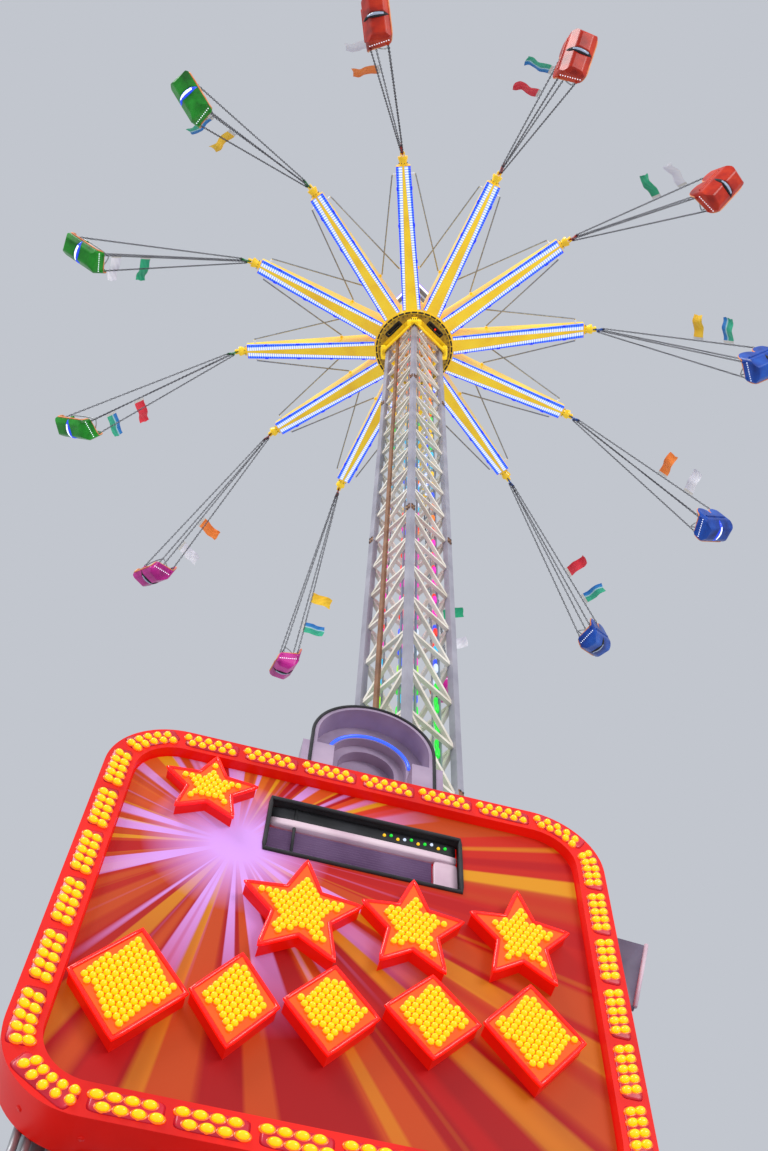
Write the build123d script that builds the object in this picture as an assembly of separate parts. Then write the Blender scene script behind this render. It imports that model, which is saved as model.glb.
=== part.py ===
"""Chair swing ride on a lattice tower, as a scale model at 1:10.

Millimetres. The origin is on the ground at the tower's axis, +Z is up and -Y faces the visitor.
One corner of the tower points at the visitor. The star is drawn at the top of its climb, with the
chairs flung out.
"""
from build123d import *
import math
import os

# Tower
TOWER_SIDE = 123.0
COLUMN = 13.0
BRACE = 7.0
BAY = 124.3
FOOT_BAYS = 5
SECTION_BAYS = 7
SECTIONS = 4
BRACING_BOTTOM = 136.5
SPLICE_HEIGHT = 10.0
SPLICE_PROUD = 0.5
TOWER_TURN = 45.0

# Base
PAD_HEIGHT = 8.0
PAD_RADIUS = 42.0
OUTRIGGER_WIDTH = 50.0
OUTRIGGER_INSET = 36.0
PLINTH_REACH = 120.0
PLINTH_SIDES = 8
SEAT_GAP = 0.2
PLINTH_TOP = 60.0
SOCKET_HEIGHT = 24.0
SOCKET_WALL = 4.0

# Hoist
ROPE_DIAMETER = 2.4
ROPE_OFFSET = 20.0
SHEAVE_RADIUS = 38.0
SHEAVE_WIDTH = 8.0
SHEAVE_AXLE_RADIUS = 5.0
DRUM_WIDTH = 62.0
DRUM_FLANGE = 4.0
WINCH_AXLE_RISE = 52.0
WINCH_PLATE = 6.0
WINCH_PLATE_WIDTH = 40.0
WINCH_PLATE_RISE = 12.0

# Head
HEAD_RISE = 112.0
HEAD_RING_HEIGHT = 12.0
HEAD_RING_PROUD = 10.0
HEAD_RING_WIDTH = 18.0
HEAD_BEAM = 10.0

# Light conduits and the brown riser
CONDUIT_SIDE = 3.4
CONDUIT_FROM_COLUMN = 20.0
RISER_WIDTH = 9.0
RISER_DEPTH = 5.7
RISER_SHARE = 0.4

# Deck
DECK_SIDES = 12
DECK_TOP = 40.0
DECK_THICKNESS = 6.0
DECK_OUTER = 700.0
DECK_INNER = 170.0
DECK_SEAM = 1.0
JOIST_DEPTH = 12.0
JOIST_WIDTH = 24.0
JOIST_INNER_FOOT = 400.0
FENCE_HEIGHT = 100.0
FENCE_BAR = 4.0
FENCE_BARS = 8
FENCE_INSET = 10.0
FENCE_END_GAP = 6.0
FENCE_LOW_SHARE = 0.12
STEP_WIDTH = 110.0
STEP_DEPTH = 30.0
STEP_GAP = 0.3
STEP_RISER = 8.0

# Carriage
SLEEVE_CLEARANCE = 5.0
SLEEVE_BAR = 7.0
SLEEVE_RING_HEIGHT = 12.0
SLEEVE_BOTTOM = 3850.0
SLEEVE_HEIGHT = 300.0
SLEEVE_TRIM_RADIUS = 98.0
LATTICE_BITE = 1.0
ROLLER_RADIUS = 7.0
ROLLER_WIDTH = 8.0
ROLLER_GAP = 0.8
ROLLER_SPACE = 3.0
ROLLER_PIN = 2.0
ROLLER_BORE_CLEARANCE = 0.2
FORK_PLATE = 2.0
FORK_GAP = 0.4
FORK_LIP = 4.0
SEAT_HEIGHT = 6.0
SEAT_PROUD = 7.0
SLEW_PLATE_Z = 3888.0
SLEW_PLATE_THICKNESS = 8.0
SLEW_PLATE_RADIUS = 112.0
SLOT_LENGTH = 48.0
SLOT_WIDTH = 10.0
SLOT_OFFSET = 90.0

# Star
ARMS = 12
FIRST_ARM_AZIMUTH = -94.15
HUB_RADIUS = 120.0
HUB_WALL = 6.0
HUB_FLANGE = 6.0
HUB_TOP = 3993.0
HUB_SIDE_CLEARANCE = 5.0
BEARING_GAP = 0.3
ARM_TIP_RADIUS = 536.0
ARM_ROOT_BOTTOM_Z = 3893.0
ARM_ROOT_WIDTH = 54.0
ARM_ROOT_BELLY_WIDTH = 36.0
ARM_TIP_BOTTOM_Z = 3972.0
ARM_TIP_TOP_Z = 4002.0
ARM_TIP_WIDTH = 42.0
ARM_TIP_BELLY_WIDTH = 5.0
ARM_LEDGE_RISE = 3.0
ARM_SEAT_GAP = 0.1
PEG_FROM_TIP = 26.0
PEG_REACH = 33.0
PEG_DIAMETER = 5.0
PEG_BELOW_TOP = 11.0
LUG_RADIUS_OUT = 230.0
LUG_REACH = 30.0
LUG_SIZE = 8.0
LUG_BELOW_TOP = 7.0
STAY_DIAMETER = 4.0
STAY_GAP = 0.3

# Arm end caps and the swivel ears
CAP_Z = 3987.0
CAP_RADIUS = 11.5
CAP_FLANGE_RADIUS = 15.0
CAP_LENGTH = 26.0
CAP_FLANGE_LENGTH = 6.0
PIVOT_FROM_TIP = 34.0
PIVOT_Z = 3984.0
EAR_THICKNESS = 3.0
EAR_GAP = 0.3
EAR_HEIGHT = 16.0
EAR_LIP = 3.0
EAR_BITE = 2.0
PIN_HEAD = 1.0
PIVOT_PIN_RADIUS = 2.5
PIVOT_BORE_CLEARANCE = 0.2

# Chairs, drawn hanging straight down below the pivot and then swung out
SWING_ANGLE = 35.5
TRAIL_ANGLE = 4.6
HANG_LENGTH = 665.0
EYE_RADIUS = 6.0
EYE_WIDTH = 6.0
SHANK_DIAMETER = 6.0
SHANK_LENGTH = 22.0
CROSSBAR_LENGTH = 24.0
CROSSBAR_WIDTH = 9.0
CROSSBAR_HEIGHT = 5.0
CHAIN_DIAMETER = 3.5
CHAIN_GAP = 0.3
TUB_WIDTH = 118.0
TUB_WALL = 4.0
TUB_DIVIDER = 6.0
TUB_DIVIDER_TOP = -8.0
TUB_BACK_TOP = 44.0
TUB_SHOULDER_TOP = 22.0
TUB_HUMP_RADIUS = 27.0
TUB_HUMP_OFFSET = 28.0
TUB_UNDERSIDE = -40.0
TUB_SIDE_RADIUS = 12.0
SEAT_SIDE_RADIUS = 8.0
LOBE_RADIUS = 18.0
TUB_PLAN_RADIUS = 14.0
TUB_FRONT = 37.0
TUB_BACK = -33.0
TUB_OPEN_TOP = 64.0
TUB_SIDE_POINTS = (
    (TUB_BACK, TUB_BACK_TOP), (-31, -14), (-12, -39), (22, -38), (TUB_FRONT, -26), (35, -2), (-14, 13),
    (-23, TUB_BACK_TOP))
SEAT_SIDE_POINTS = (
    (-28, TUB_OPEN_TOP), (-26, -11), (-9, -33.5), (20, -32), (60, -15), (60, TUB_OPEN_TOP))
DIVIDER_BACK = -25.0
TUB_RIB_RADIUS = 3.0
TUB_RIB_INSET = 16.0
TUB_RIB_PLACE = (-31.5, 2.0)
TUB_LUG = 6.0
TUB_LUG_PROUD = 1.5
TUB_LUG_PLACES = ((-22.0, 9.0), (22.0, -1.0))
FLAG_HOIST = 35.0
FLAG_FLY = 78.0
FLAG_THICKNESS = 1.0
FLAG_SHARES = (0.6, 0.77)

# Sign and gate
SIGN_CENTRE = (-15.0, -778.0)
SIGN_TURN = 14.9
SIGN_BOTTOM = 416.5
SIGN_WIDTH = 226.0
SIGN_HEIGHT = 206.0
SIGN_CORNER = 32.0
SIGN_THICKNESS = 14.0
SIGN_RIM_WIDTH = 13.0
SIGN_RIM_PROUD = 5.0
WINDOW_ACROSS = 4.1
WINDOW_BELOW_TOP = 44.1
WINDOW_SIZE = (86.0, 34.0)
WINDOW_DEPTH = 5.0
STAR_POINTS = 5
STAR_INNER_SHARE = 0.48
STAR_FROM_SIDE = 46.6
STAR_BELOW_TOP = 36.2
STAR_RADIUS = 20.6
STAR_THICKNESS = 6.0
SHAPE_THICKNESS = 7.0
# Each shape's place from the board's middle, then its half width and half height.
ROW_STARS = (
    (-20.6, 4.0, 24.5, 28.0), (24.2, 8.5, 21.5, 26.0), (69.3, 15.5, 21.5, 26.5))
ROW_DIAMONDS = (
    (-77.5, -49.0, 20.5, 25.0), (-40.2, -46.5, 15.5, 21.0), (-5.5, -42.0, 17.0, 20.0),
    (32.0, -35.0, 17.5, 19.0), (71.0, -33.0, 19.0, 23.0))
FRAME_BAR = 10.0
FRAME_INSET = 12.0
POST_DIAMETER = 13.0
POST_OFFSET = 92.0
POST_TOP_INSET = 20.0
POST_FOOT_SIDE = 36.0
POST_FOOT_THICKNESS = 5.0
POST_SEAT_CLEARANCE = 0.2
POST_NOTCH = 2.0
TIE_BAR = 6.0
BEAM_HEIGHT = 16.0
BEAM_DROP = 14.0
ARCH_ACROSS = 8.5
ARCH_RISE = 52.3
ARCH_DEPTH = 26.0
# Outer radius of each ring and how far its face stands in front of the back.
ARCH_RINGS = ((32.0, 26.0), (29.0, 14.0), (20.0, 9.0), (15.0, 3.0))
SHOULDER_INNER = 20.0
SHOULDER_OUTER = 36.0
SHOULDER_RISE = 43.0
SHOULDER_DEPTH = 10.0

# Worked out from the values above
HALF_SIDE = TOWER_SIDE / 2
COLUMN_CENTRE = HALF_SIDE - COLUMN / 2
CLEAR_HALF = HALF_SIDE - COLUMN
BAYS = FOOT_BAYS + SECTION_BAYS * SECTIONS
TOWER_TOP = BRACING_BOTTOM + BAYS * BAY
DECK_BOTTOM = DECK_TOP - DECK_THICKNESS
SLEEVE_INNER = HALF_SIDE + SLEEVE_CLEARANCE
SLEEVE_OUTER = SLEEVE_INNER + SLEEVE_BAR
SLEEVE_TOP = SLEEVE_BOTTOM + SLEEVE_HEIGHT
PLATE_TOP = SLEW_PLATE_Z + SLEW_PLATE_THICKNESS
ROPE_RADIUS = ROPE_DIAMETER / 2
SHEAVE_AXLE_Z = TOWER_TOP + HEAD_RISE / 2
WINCH_AXLE_Z = PLINTH_TOP + WINCH_AXLE_RISE
SEAT_TO_SEAM = 180.0 / DECK_SIDES
DECK_EDGE = DECK_OUTER * math.cos(math.radians(SEAT_TO_SEAM))
OUTRIGGER_REACH = DECK_EDGE - OUTRIGGER_INSET
PEG_RADIUS_OUT = ARM_TIP_RADIUS - PEG_FROM_TIP
PEG_Z = ARM_TIP_TOP_Z - PEG_BELOW_TOP
LUG_Z = HUB_TOP - LUG_BELOW_TOP
PIVOT_RADIUS_OUT = ARM_TIP_RADIUS + PIVOT_FROM_TIP
WINDOW_RISE = SIGN_HEIGHT - WINDOW_BELOW_TOP
STAR_ACROSS = STAR_FROM_SIDE - SIGN_WIDTH / 2
STAR_RISE = SIGN_HEIGHT - STAR_BELOW_TOP


def box(x0, x1, y0, y1, z0, z1):
    """A box from its low and high faces."""
    return Pos((x0 + x1) / 2, (y0 + y1) / 2, (z0 + z1) / 2) * Box(x1 - x0, y1 - y0, z1 - z0)


def box_outline(x0, x1, y0, y1):
    """A rectangle from its low and high sides."""
    return Pos((x0 + x1) / 2, (y0 + y1) / 2) * Rectangle(x1 - x0, y1 - y0)


def square_ring(outer, inner, z0, z1):
    """A square ring, its half widths given, between two levels."""
    ring = box(-outer, outer, -outer, outer, z0, z1)
    return ring - box(-inner, inner, -inner, inner, z0 - 1, z1 + 1)


def turned(shape, angle=TOWER_TURN):
    """The shape turned about the tower's axis."""
    return Rot(0, 0, angle) * shape


def rod(start, end, diameter, sides=6):
    """A straight rod of few sides from one point to another."""
    start = Vector(*start)
    along = Vector(*end) - start
    across = Vector(1, 0, 0) if abs(along.normalized().X) < 0.9 else Vector(0, 1, 0)
    plane = Plane(origin=start, x_dir=along.cross(across), z_dir=along)
    return extrude(plane * RegularPolygon(diameter / 2, sides, major_radius=False), along.length)


def save(name, shapes):
    """Write one node; its solids keep apart inside it."""
    solids = [solid for shape in shapes for solid in shape.solids()]
    body = solids[0] if len(solids) == 1 else Compound(solids)
    body.label = name
    export_step(body, f"parts/{name}.step")
    print(name, len(solids))


# Base

def outriggers():
    """Four box beams out from the plinth, one under each corner of the tower, that carry the deck."""
    z0, z1 = PAD_HEIGHT, DECK_BOTTOM - SEAT_GAP
    half = OUTRIGGER_WIDTH / 2
    start = PLINTH_REACH + SEAT_GAP
    beam = box(start, OUTRIGGER_REACH, -half, half, z0, z1)
    return [turned(beam, 90 * n) for n in range(4)]


def base_plinth():
    """Many-sided block with a socket for each column."""
    outline = RegularPolygon(PLINTH_REACH, PLINTH_SIDES, major_radius=False,
                             rotation=180 / PLINTH_SIDES)
    frame = extrude(Pos(0, 0, PAD_HEIGHT) * outline, PLINTH_TOP - PAD_HEIGHT)
    hole = COLUMN / 2 + SEAT_GAP
    collar = hole + SOCKET_WALL
    for sx in (-1, 1):
        for sy in (-1, 1):
            x, y = sx * COLUMN_CENTRE, sy * COLUMN_CENTRE
            socket = box(x - collar, x + collar, y - collar, y + collar, PLINTH_TOP,
                         PLINTH_TOP + SOCKET_HEIGHT)
            socket -= box(x - hole, x + hole, y - hole, y + hole, PLINTH_TOP,
                          PLINTH_TOP + SOCKET_HEIGHT)
            frame += turned(socket)
    return [frame]


def base_pads():
    """A round jack pad under the end of each outrigger and one under the plinth."""
    pad = Pos(0, 0, PAD_HEIGHT / 2) * Cylinder(PAD_RADIUS, PAD_HEIGHT)
    out = OUTRIGGER_REACH - PAD_RADIUS
    return [pad] + [turned(Pos(out, 0, 0) * pad, 90 * n) for n in range(4)]


def hoist_winch():
    """Rope drum on two side plates, on the plinth between the columns."""
    drum = Cylinder(SHEAVE_RADIUS, DRUM_WIDTH)
    for side in (-1, 1):
        z = side * (DRUM_WIDTH - DRUM_FLANGE) / 2
        drum += Pos(0, 0, z) * Cylinder(SHEAVE_RADIUS + 2 * ROPE_DIAMETER, DRUM_FLANGE)
    reach = DRUM_WIDTH / 2 + WINCH_PLATE
    drum += Cylinder(SHEAVE_AXLE_RADIUS, 2 * reach)
    drum = Pos(0, 0, WINCH_AXLE_Z) * Rot(90, 0, 0) * drum
    plates = []
    half = WINCH_PLATE_WIDTH / 2
    for side in (-1, 1):
        near = side * (DRUM_WIDTH / 2 + STEP_GAP)
        y0, y1 = sorted((near, near + side * WINCH_PLATE))
        plate = box(-half, half, y0, y1, PLINTH_TOP, WINCH_AXLE_Z + WINCH_PLATE_RISE)
        bore = Rot(90, 0, 0) * Cylinder(SHEAVE_AXLE_RADIUS + ROLLER_BORE_CLEARANCE, 4 * reach)
        plates.append(plate - Pos(0, 0, WINCH_AXLE_Z) * bore)
    return [turned(shape) for shape in [drum] + plates]


# Tower

def splice_levels():
    """Heights of the bolted joints between tower sections."""
    return [BRACING_BOTTOM + (FOOT_BAYS + SECTION_BAYS * n) * BAY for n in range(SECTIONS)]


def tower_columns():
    """Four square columns, each with a slim band at every splice."""
    columns = []
    half, band = COLUMN / 2, COLUMN / 2 + SPLICE_PROUD
    for sx in (-1, 1):
        for sy in (-1, 1):
            x, y = sx * COLUMN_CENTRE, sy * COLUMN_CENTRE
            column = box(x - half, x + half, y - half, y + half, PLINTH_TOP, TOWER_TOP)
            for z in splice_levels():
                column += box(x - band, x + band, y - band, y + band, z - SPLICE_HEIGHT / 2,
                              z + SPLICE_HEIGHT / 2)
            columns.append(turned(column))
    return columns


def bracing_panel():
    """One flat side: a rail at every bay line and a diagonal falling from left to right."""
    end_gap = 0.05
    half = CLEAR_HALF - end_gap
    rise = math.atan2(BAY - BRACE, 2 * half)
    trim = Pos(0, BRACING_BOTTOM + BAYS * BAY / 2) * Rectangle(2 * half, BAYS * BAY + BRACE)
    rails = [Pos(0, BRACING_BOTTOM + n * BAY) * Rectangle(2 * half, BRACE) for n in range(BAYS + 1)]
    length = 2 * math.hypot(half, BAY / 2)
    diagonals = [
        Pos(0, BRACING_BOTTOM + (n + 0.5) * BAY) * Rot(0, 0, -math.degrees(rise))
        * Rectangle(length, BRACE)
        for n in range(BAYS)
    ]
    # The splice bands of the columns stand slightly proud, so the panel steps back there.
    notches = []
    for z in splice_levels():
        for side in (-1, 1):
            notches.append(Pos(side * half, z) * Rectangle(
                2 * (SPLICE_PROUD + end_gap), SPLICE_HEIGHT + 1))
    sketch = (Sketch() + rails + diagonals) & trim
    return sketch - notches


def tower_bracing():
    """The same lattice on all four sides, set back behind the columns' outer faces."""
    panel = bracing_panel()
    centre = CLEAR_HALF + BRACE / 2
    faces = {
        "ne": Plane(origin=(0, -centre, 0), x_dir=(1, 0, 0), z_dir=(0, -1, 0)),
        "nw": Plane(origin=(-centre, 0, 0), x_dir=(0, 1, 0), z_dir=(1, 0, 0)),
        "sw": Plane(origin=(0, centre, 0), x_dir=(1, 0, 0), z_dir=(0, -1, 0)),
        "se": Plane(origin=(centre, 0, 0), x_dir=(0, 1, 0), z_dir=(1, 0, 0)),
    }
    return {
        name: turned(extrude(plane * panel, BRACE / 2, both=True))
        for name, plane in faces.items()
    }


def tower_conduits():
    """Thin light conduits up the inside of the lattice, one each side of every column."""
    along = CLEAR_HALF - CONDUIT_FROM_COLUMN
    half = CONDUIT_SIDE / 2
    depth = CLEAR_HALF - half
    z0, z1 = BRACING_BOTTOM - BRACE, TOWER_TOP - BRACE
    conduits = []
    for sx in (-1, 1):
        for sy in (-1, 1):
            for x, y in ((sx * along, sy * depth), (sx * depth, sy * along)):
                conduits.append(turned(box(x - half, x + half, y - half, y + half, z0, z1)))
    return conduits


def riser_pipe():
    """Brown riser on the rails of the left face, inside the line of the columns."""
    y = HALF_SIDE - RISER_SHARE * TOWER_SIDE
    back = CLEAR_HALF + BRACE
    pipe = box(-back - RISER_DEPTH, -back, y - RISER_WIDTH / 2, y + RISER_WIDTH / 2,
               BRACING_BOTTOM - BAY / 2, TOWER_TOP - BAY / 2)
    return [turned(pipe)]


# Head

def tower_head():
    """Four stub posts, beams for the sheave axles and a wide ring on top."""
    half = COLUMN / 2
    ring_z = TOWER_TOP + HEAD_RISE
    outer = HALF_SIDE + HEAD_RING_PROUD
    head = square_ring(outer, outer - HEAD_RING_WIDTH, ring_z, ring_z + HEAD_RING_HEIGHT)
    for sx in (-1, 1):
        for sy in (-1, 1):
            x, y = sx * COLUMN_CENTRE, sy * COLUMN_CENTRE
            head += box(x - half, x + half, y - half, y + half, TOWER_TOP, ring_z)
    for side in (-1, 1):
        y = side * COLUMN_CENTRE
        beam = box(-COLUMN_CENTRE, COLUMN_CENTRE, y - HEAD_BEAM / 2, y + HEAD_BEAM / 2,
                   SHEAVE_AXLE_Z - HEAD_BEAM, SHEAVE_AXLE_Z + HEAD_BEAM)
        head += beam
    axle = Rot(90, 0, 0) * Cylinder(SHEAVE_AXLE_RADIUS, 2 * COLUMN_CENTRE)
    head += Pos(0, 0, SHEAVE_AXLE_Z) * axle
    return [turned(head)]


def head_sheaves():
    """Two grooved sheaves on the axle."""
    rim = SHEAVE_RADIUS + 2 * ROPE_DIAMETER
    half = SHEAVE_WIDTH / 2
    bore = SHEAVE_AXLE_RADIUS + ROLLER_BORE_CLEARANCE
    profile = Polyline((bore, -half), (rim, -half), (SHEAVE_RADIUS, -ROPE_DIAMETER),
                       (SHEAVE_RADIUS, ROPE_DIAMETER), (rim, half), (bore, half), close=True)
    wheel = revolve(Plane.XZ * make_face(profile), Axis.Z)
    return [
        turned(Pos(0, side * ROPE_OFFSET, SHEAVE_AXLE_Z) * Rot(90, 0, 0) * wheel)
        for side in (-1, 1)
    ]


def hoist_ropes():
    """Two endless ropes, each round the drum below and a sheave above."""
    gap = 0.3
    radius = SHEAVE_RADIUS + gap + ROPE_RADIUS
    rise = SHEAVE_AXLE_Z - WINCH_AXLE_Z
    middle = (SHEAVE_AXLE_Z + WINCH_AXLE_Z) / 2
    ropes = []
    for side in (-1, 1):
        plane = Plane(origin=(0, side * ROPE_OFFSET, middle), x_dir=(0, 0, 1), z_dir=(0, 1, 0))
        outer = plane * SlotCenterToCenter(rise, 2 * (radius + ROPE_RADIUS))
        inner = plane * SlotCenterToCenter(rise, 2 * (radius - ROPE_RADIUS))
        ropes.append(turned(extrude(outer - inner, ROPE_RADIUS, both=True)))
    return ropes


# Deck

def deck_panels():
    """Wedge-shaped deck plates, one a side, with a narrow seam between them."""
    seam = DECK_SEAM / 2
    panels = []
    tangent = math.tan(math.radians(SEAT_TO_SEAM))
    outer = DECK_EDGE
    inner = DECK_INNER * math.cos(math.radians(SEAT_TO_SEAM))
    shrink = seam / math.cos(math.radians(SEAT_TO_SEAM))
    wedge = Polyline((inner, -inner * tangent + shrink), (outer, -outer * tangent + shrink),
                     (outer, outer * tangent - shrink), (inner, inner * tangent - shrink), close=True)
    plate = extrude(Pos(0, 0, DECK_BOTTOM) * make_face(wedge), DECK_THICKNESS)
    for n in range(DECK_SIDES):
        panels.append(turned(plate, 360 / DECK_SIDES * n))
    return panels


def deck_joists():
    """A joist under every seam, on an inner and an outer foot."""
    z1 = DECK_BOTTOM
    z0 = z1 - JOIST_DEPTH
    half = JOIST_WIDTH / 2
    joist = box(DECK_INNER, DECK_OUTER - half, -half, half, z0, z1)
    for out in (JOIST_INNER_FOOT, DECK_OUTER - 2 * half):
        joist += box(out - half, out + half, -half, half, 0, z0)
    return [turned(joist, 360 / DECK_SIDES * (n + 0.5)) for n in range(DECK_SIDES)]


def fence_panel():
    """One flat fence panel with upright bars, standing on the deck."""
    line = DECK_EDGE - FENCE_INSET
    half = line * math.tan(math.radians(SEAT_TO_SEAM)) - FENCE_END_GAP
    bar = FENCE_BAR
    low = FENCE_HEIGHT * FENCE_LOW_SHARE
    panel = Pos(0, FENCE_HEIGHT - bar / 2) * Rectangle(2 * half, bar)
    panel += Pos(0, low) * Rectangle(2 * half, bar)
    pitch = (2 * half - bar) / FENCE_BARS
    for n in range(FENCE_BARS + 1):
        x = -half + bar / 2 + n * pitch
        foot = 0.0 if n in (0, FENCE_BARS // 2, FENCE_BARS) else low
        panel += Pos(x, (foot + FENCE_HEIGHT) / 2) * Rectangle(bar, FENCE_HEIGHT - foot)
    plane = Plane(origin=(line, 0, DECK_TOP), x_dir=(0, 1, 0), z_dir=(1, 0, 0))
    return extrude(plane * panel, bar / 2, both=True)


def deck_fence():
    """Fence panels all round, left open at the front and the back for the steps."""
    panel = fence_panel()
    quarter = DECK_SIDES // 4
    open_sides = (quarter, 3 * quarter)
    return [turned(panel, 360 / DECK_SIDES * n) for n in range(DECK_SIDES) if n not in open_sides]


def deck_steps():
    """A broad step and its riser against the deck edge, at the way in and the way out."""
    start = DECK_EDGE + STEP_GAP
    half = STEP_WIDTH / 2
    step = box(start, start + STEP_DEPTH, -half, half, 0, DECK_TOP / 2)
    step += box(start, start + STEP_RISER, -half, half, 0, DECK_TOP)
    return [turned(step, 90), turned(step, -90)]


# Carriage

def upper_rail_z():
    """Underside of the rail below the upper rollers."""
    return SLEEVE_TOP - SLEEVE_RING_HEIGHT - 2 * (ROLLER_RADIUS + ROLLER_SPACE) - SEAT_HEIGHT


def sleeve_lattice():
    """Slanting bars on the four sides of the sleeve, above the slew plate."""
    z0 = PLATE_TOP + SEAT_HEIGHT
    z1 = upper_rail_z()
    half = SLEEVE_INNER + LATTICE_BITE
    length = math.hypot(2 * half, z1 - z0)
    angle = math.degrees(math.atan2(z1 - z0, 2 * half))
    bars = Sketch()
    for side in (-1, 1):
        bars += Pos(0, (z0 + z1) / 2) * Rot(0, 0, side * angle) * Rectangle(length, SLEEVE_BAR)
    bars &= Pos(0, (z0 + z1) / 2) * Rectangle(2 * half, z1 - z0 + 2)
    middle = SLEEVE_INNER + SLEEVE_BAR / 2
    plane = Plane(origin=(0, -middle, 0), x_dir=(1, 0, 0), z_dir=(0, -1, 0))
    side_panel = extrude(plane * bars, SLEEVE_BAR / 2, both=True)
    return [turned(side_panel, 90 * n) for n in range(4)]


def roller_places():
    """Centre of every roller: two to a column, at the foot and the head of the sleeve."""
    low = SLEEVE_BOTTOM + SLEEVE_RING_HEIGHT + ROLLER_RADIUS + ROLLER_SPACE
    high = SLEEVE_TOP - SLEEVE_RING_HEIGHT - ROLLER_RADIUS - ROLLER_SPACE
    return [(low, 1), (high, -1)]


def fork():
    """Two plates and a pin for one roller, facing +X, drawn from the sleeve ring up to the pin."""
    x = HALF_SIDE + ROLLER_GAP + ROLLER_RADIUS
    reach = ROLLER_RADIUS + ROLLER_SPACE
    shape = None
    for side in (-1, 1):
        y = side * (ROLLER_WIDTH / 2 + FORK_GAP + FORK_PLATE / 2)
        plate = box(SLEEVE_INNER, x + FORK_LIP, y - FORK_PLATE / 2, y + FORK_PLATE / 2, -reach,
                    FORK_LIP)
        shape = plate if shape is None else shape + plate
    pin_length = ROLLER_WIDTH + 2 * (FORK_GAP + FORK_PLATE)
    shape += Pos(x, 0, 0) * Rot(90, 0, 0) * Cylinder(ROLLER_PIN, pin_length)
    return shape


def at_columns(shape, z, flip):
    """The shape, drawn for the +X face, at both outer faces of each column."""
    placed = []
    upright = shape if flip > 0 else Rot(180, 0, 0) * shape
    for n in range(4):
        for side in (-1, 1):
            placed.append(turned(turned(Pos(0, side * COLUMN_CENTRE, z) * upright, 90 * n)))
    return placed


def carriage_frame():
    """Square sleeve round the tower, with rings, corner posts, slanting bars and roller forks."""
    ring = SLEEVE_RING_HEIGHT
    frame = square_ring(SLEEVE_OUTER, SLEEVE_INNER, SLEEVE_BOTTOM, SLEEVE_BOTTOM + ring)
    frame += square_ring(SLEEVE_OUTER, SLEEVE_INNER, SLEEVE_TOP - ring, SLEEVE_TOP)
    frame += square_ring(SLEEVE_OUTER, SLEEVE_INNER, PLATE_TOP, PLATE_TOP + SEAT_HEIGHT)
    rail = upper_rail_z()
    frame += square_ring(SLEEVE_OUTER, SLEEVE_INNER, rail, rail + SEAT_HEIGHT)
    seat = square_ring(SLEEVE_OUTER + SEAT_PROUD, SLEEVE_INNER, SLEW_PLATE_Z - SEAT_HEIGHT,
                       SLEW_PLATE_Z)
    for sx in (-1, 1):
        for sy in (-1, 1):
            x0, x1 = sorted((sx * SLEEVE_INNER, sx * SLEEVE_OUTER))
            y0, y1 = sorted((sy * SLEEVE_INNER, sy * SLEEVE_OUTER))
            frame += box(x0, x1, y0, y1, SLEEVE_BOTTOM, SLEEVE_TOP)
    frame += seat
    frame += sleeve_lattice()
    trim = Pos(0, 0, SLEEVE_BOTTOM + SLEEVE_HEIGHT / 2) * Cylinder(SLEEVE_TRIM_RADIUS, 2 * SLEEVE_HEIGHT)
    frame = turned(frame & trim)
    for z, flip in roller_places():
        frame += at_columns(fork(), z, flip)
    return [frame]


def carriage_rollers():
    """Rollers that bear on the outer faces of the columns."""
    x = HALF_SIDE + ROLLER_GAP + ROLLER_RADIUS
    roller = Cylinder(ROLLER_RADIUS, ROLLER_WIDTH)
    roller -= Cylinder(ROLLER_PIN + ROLLER_BORE_CLEARANCE, 2 * ROLLER_WIDTH)
    roller = Pos(x, 0, 0) * Rot(90, 0, 0) * roller
    placed = []
    for z, flip in roller_places():
        placed += at_columns(roller, z, flip)
    return placed


def slew_plate():
    """Round plate on the sleeve, with a slot over each side of the tower."""
    plate = Pos(0, 0, SLEW_PLATE_Z + SLEW_PLATE_THICKNESS / 2) * Cylinder(
        SLEW_PLATE_RADIUS, SLEW_PLATE_THICKNESS)
    hole = SLEEVE_OUTER
    sleeve = box(-hole, hole, -hole, hole, SLEW_PLATE_Z - 1, PLATE_TOP + 1)
    corner_trim = Pos(0, 0, SLEW_PLATE_Z) * Cylinder(SLEEVE_TRIM_RADIUS, 4 * SLEW_PLATE_THICKNESS)
    plate -= sleeve & corner_trim
    for n in range(4):
        slot = Pos(SLOT_OFFSET, 0, SLEW_PLATE_Z) * extrude(
            Rot(0, 0, 90) * SlotOverall(SLOT_LENGTH, SLOT_WIDTH), 3 * SLEW_PLATE_THICKNESS, both=True)
        plate -= turned(slot, 90 * n)
    return [turned(plate)]


# Star

def arm_azimuths():
    """Direction of each arm, seen from above."""
    return [FIRST_ARM_AZIMUTH + 360 / ARMS * n for n in range(ARMS)]


def slew_ring():
    """Hub drum: it turns on the slew plate and carries the arms."""
    inner = SLEEVE_TRIM_RADIUS + HUB_SIDE_CLEARANCE
    wall = HUB_RADIUS - HUB_WALL
    sole = PLATE_TOP + BEARING_GAP
    skirt = SLEW_PLATE_RADIUS + BEARING_GAP
    profile = Polyline(
        (skirt, SLEW_PLATE_Z), (HUB_RADIUS, SLEW_PLATE_Z), (HUB_RADIUS, HUB_TOP),
        (inner, HUB_TOP), (inner, HUB_TOP - HUB_FLANGE), (wall, HUB_TOP - HUB_FLANGE),
        (wall, sole + HUB_FLANGE), (inner, sole + HUB_FLANGE), (inner, sole), (skirt, sole),
        close=True)
    return [revolve(Plane.XZ * make_face(profile), Axis.Z)]


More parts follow.
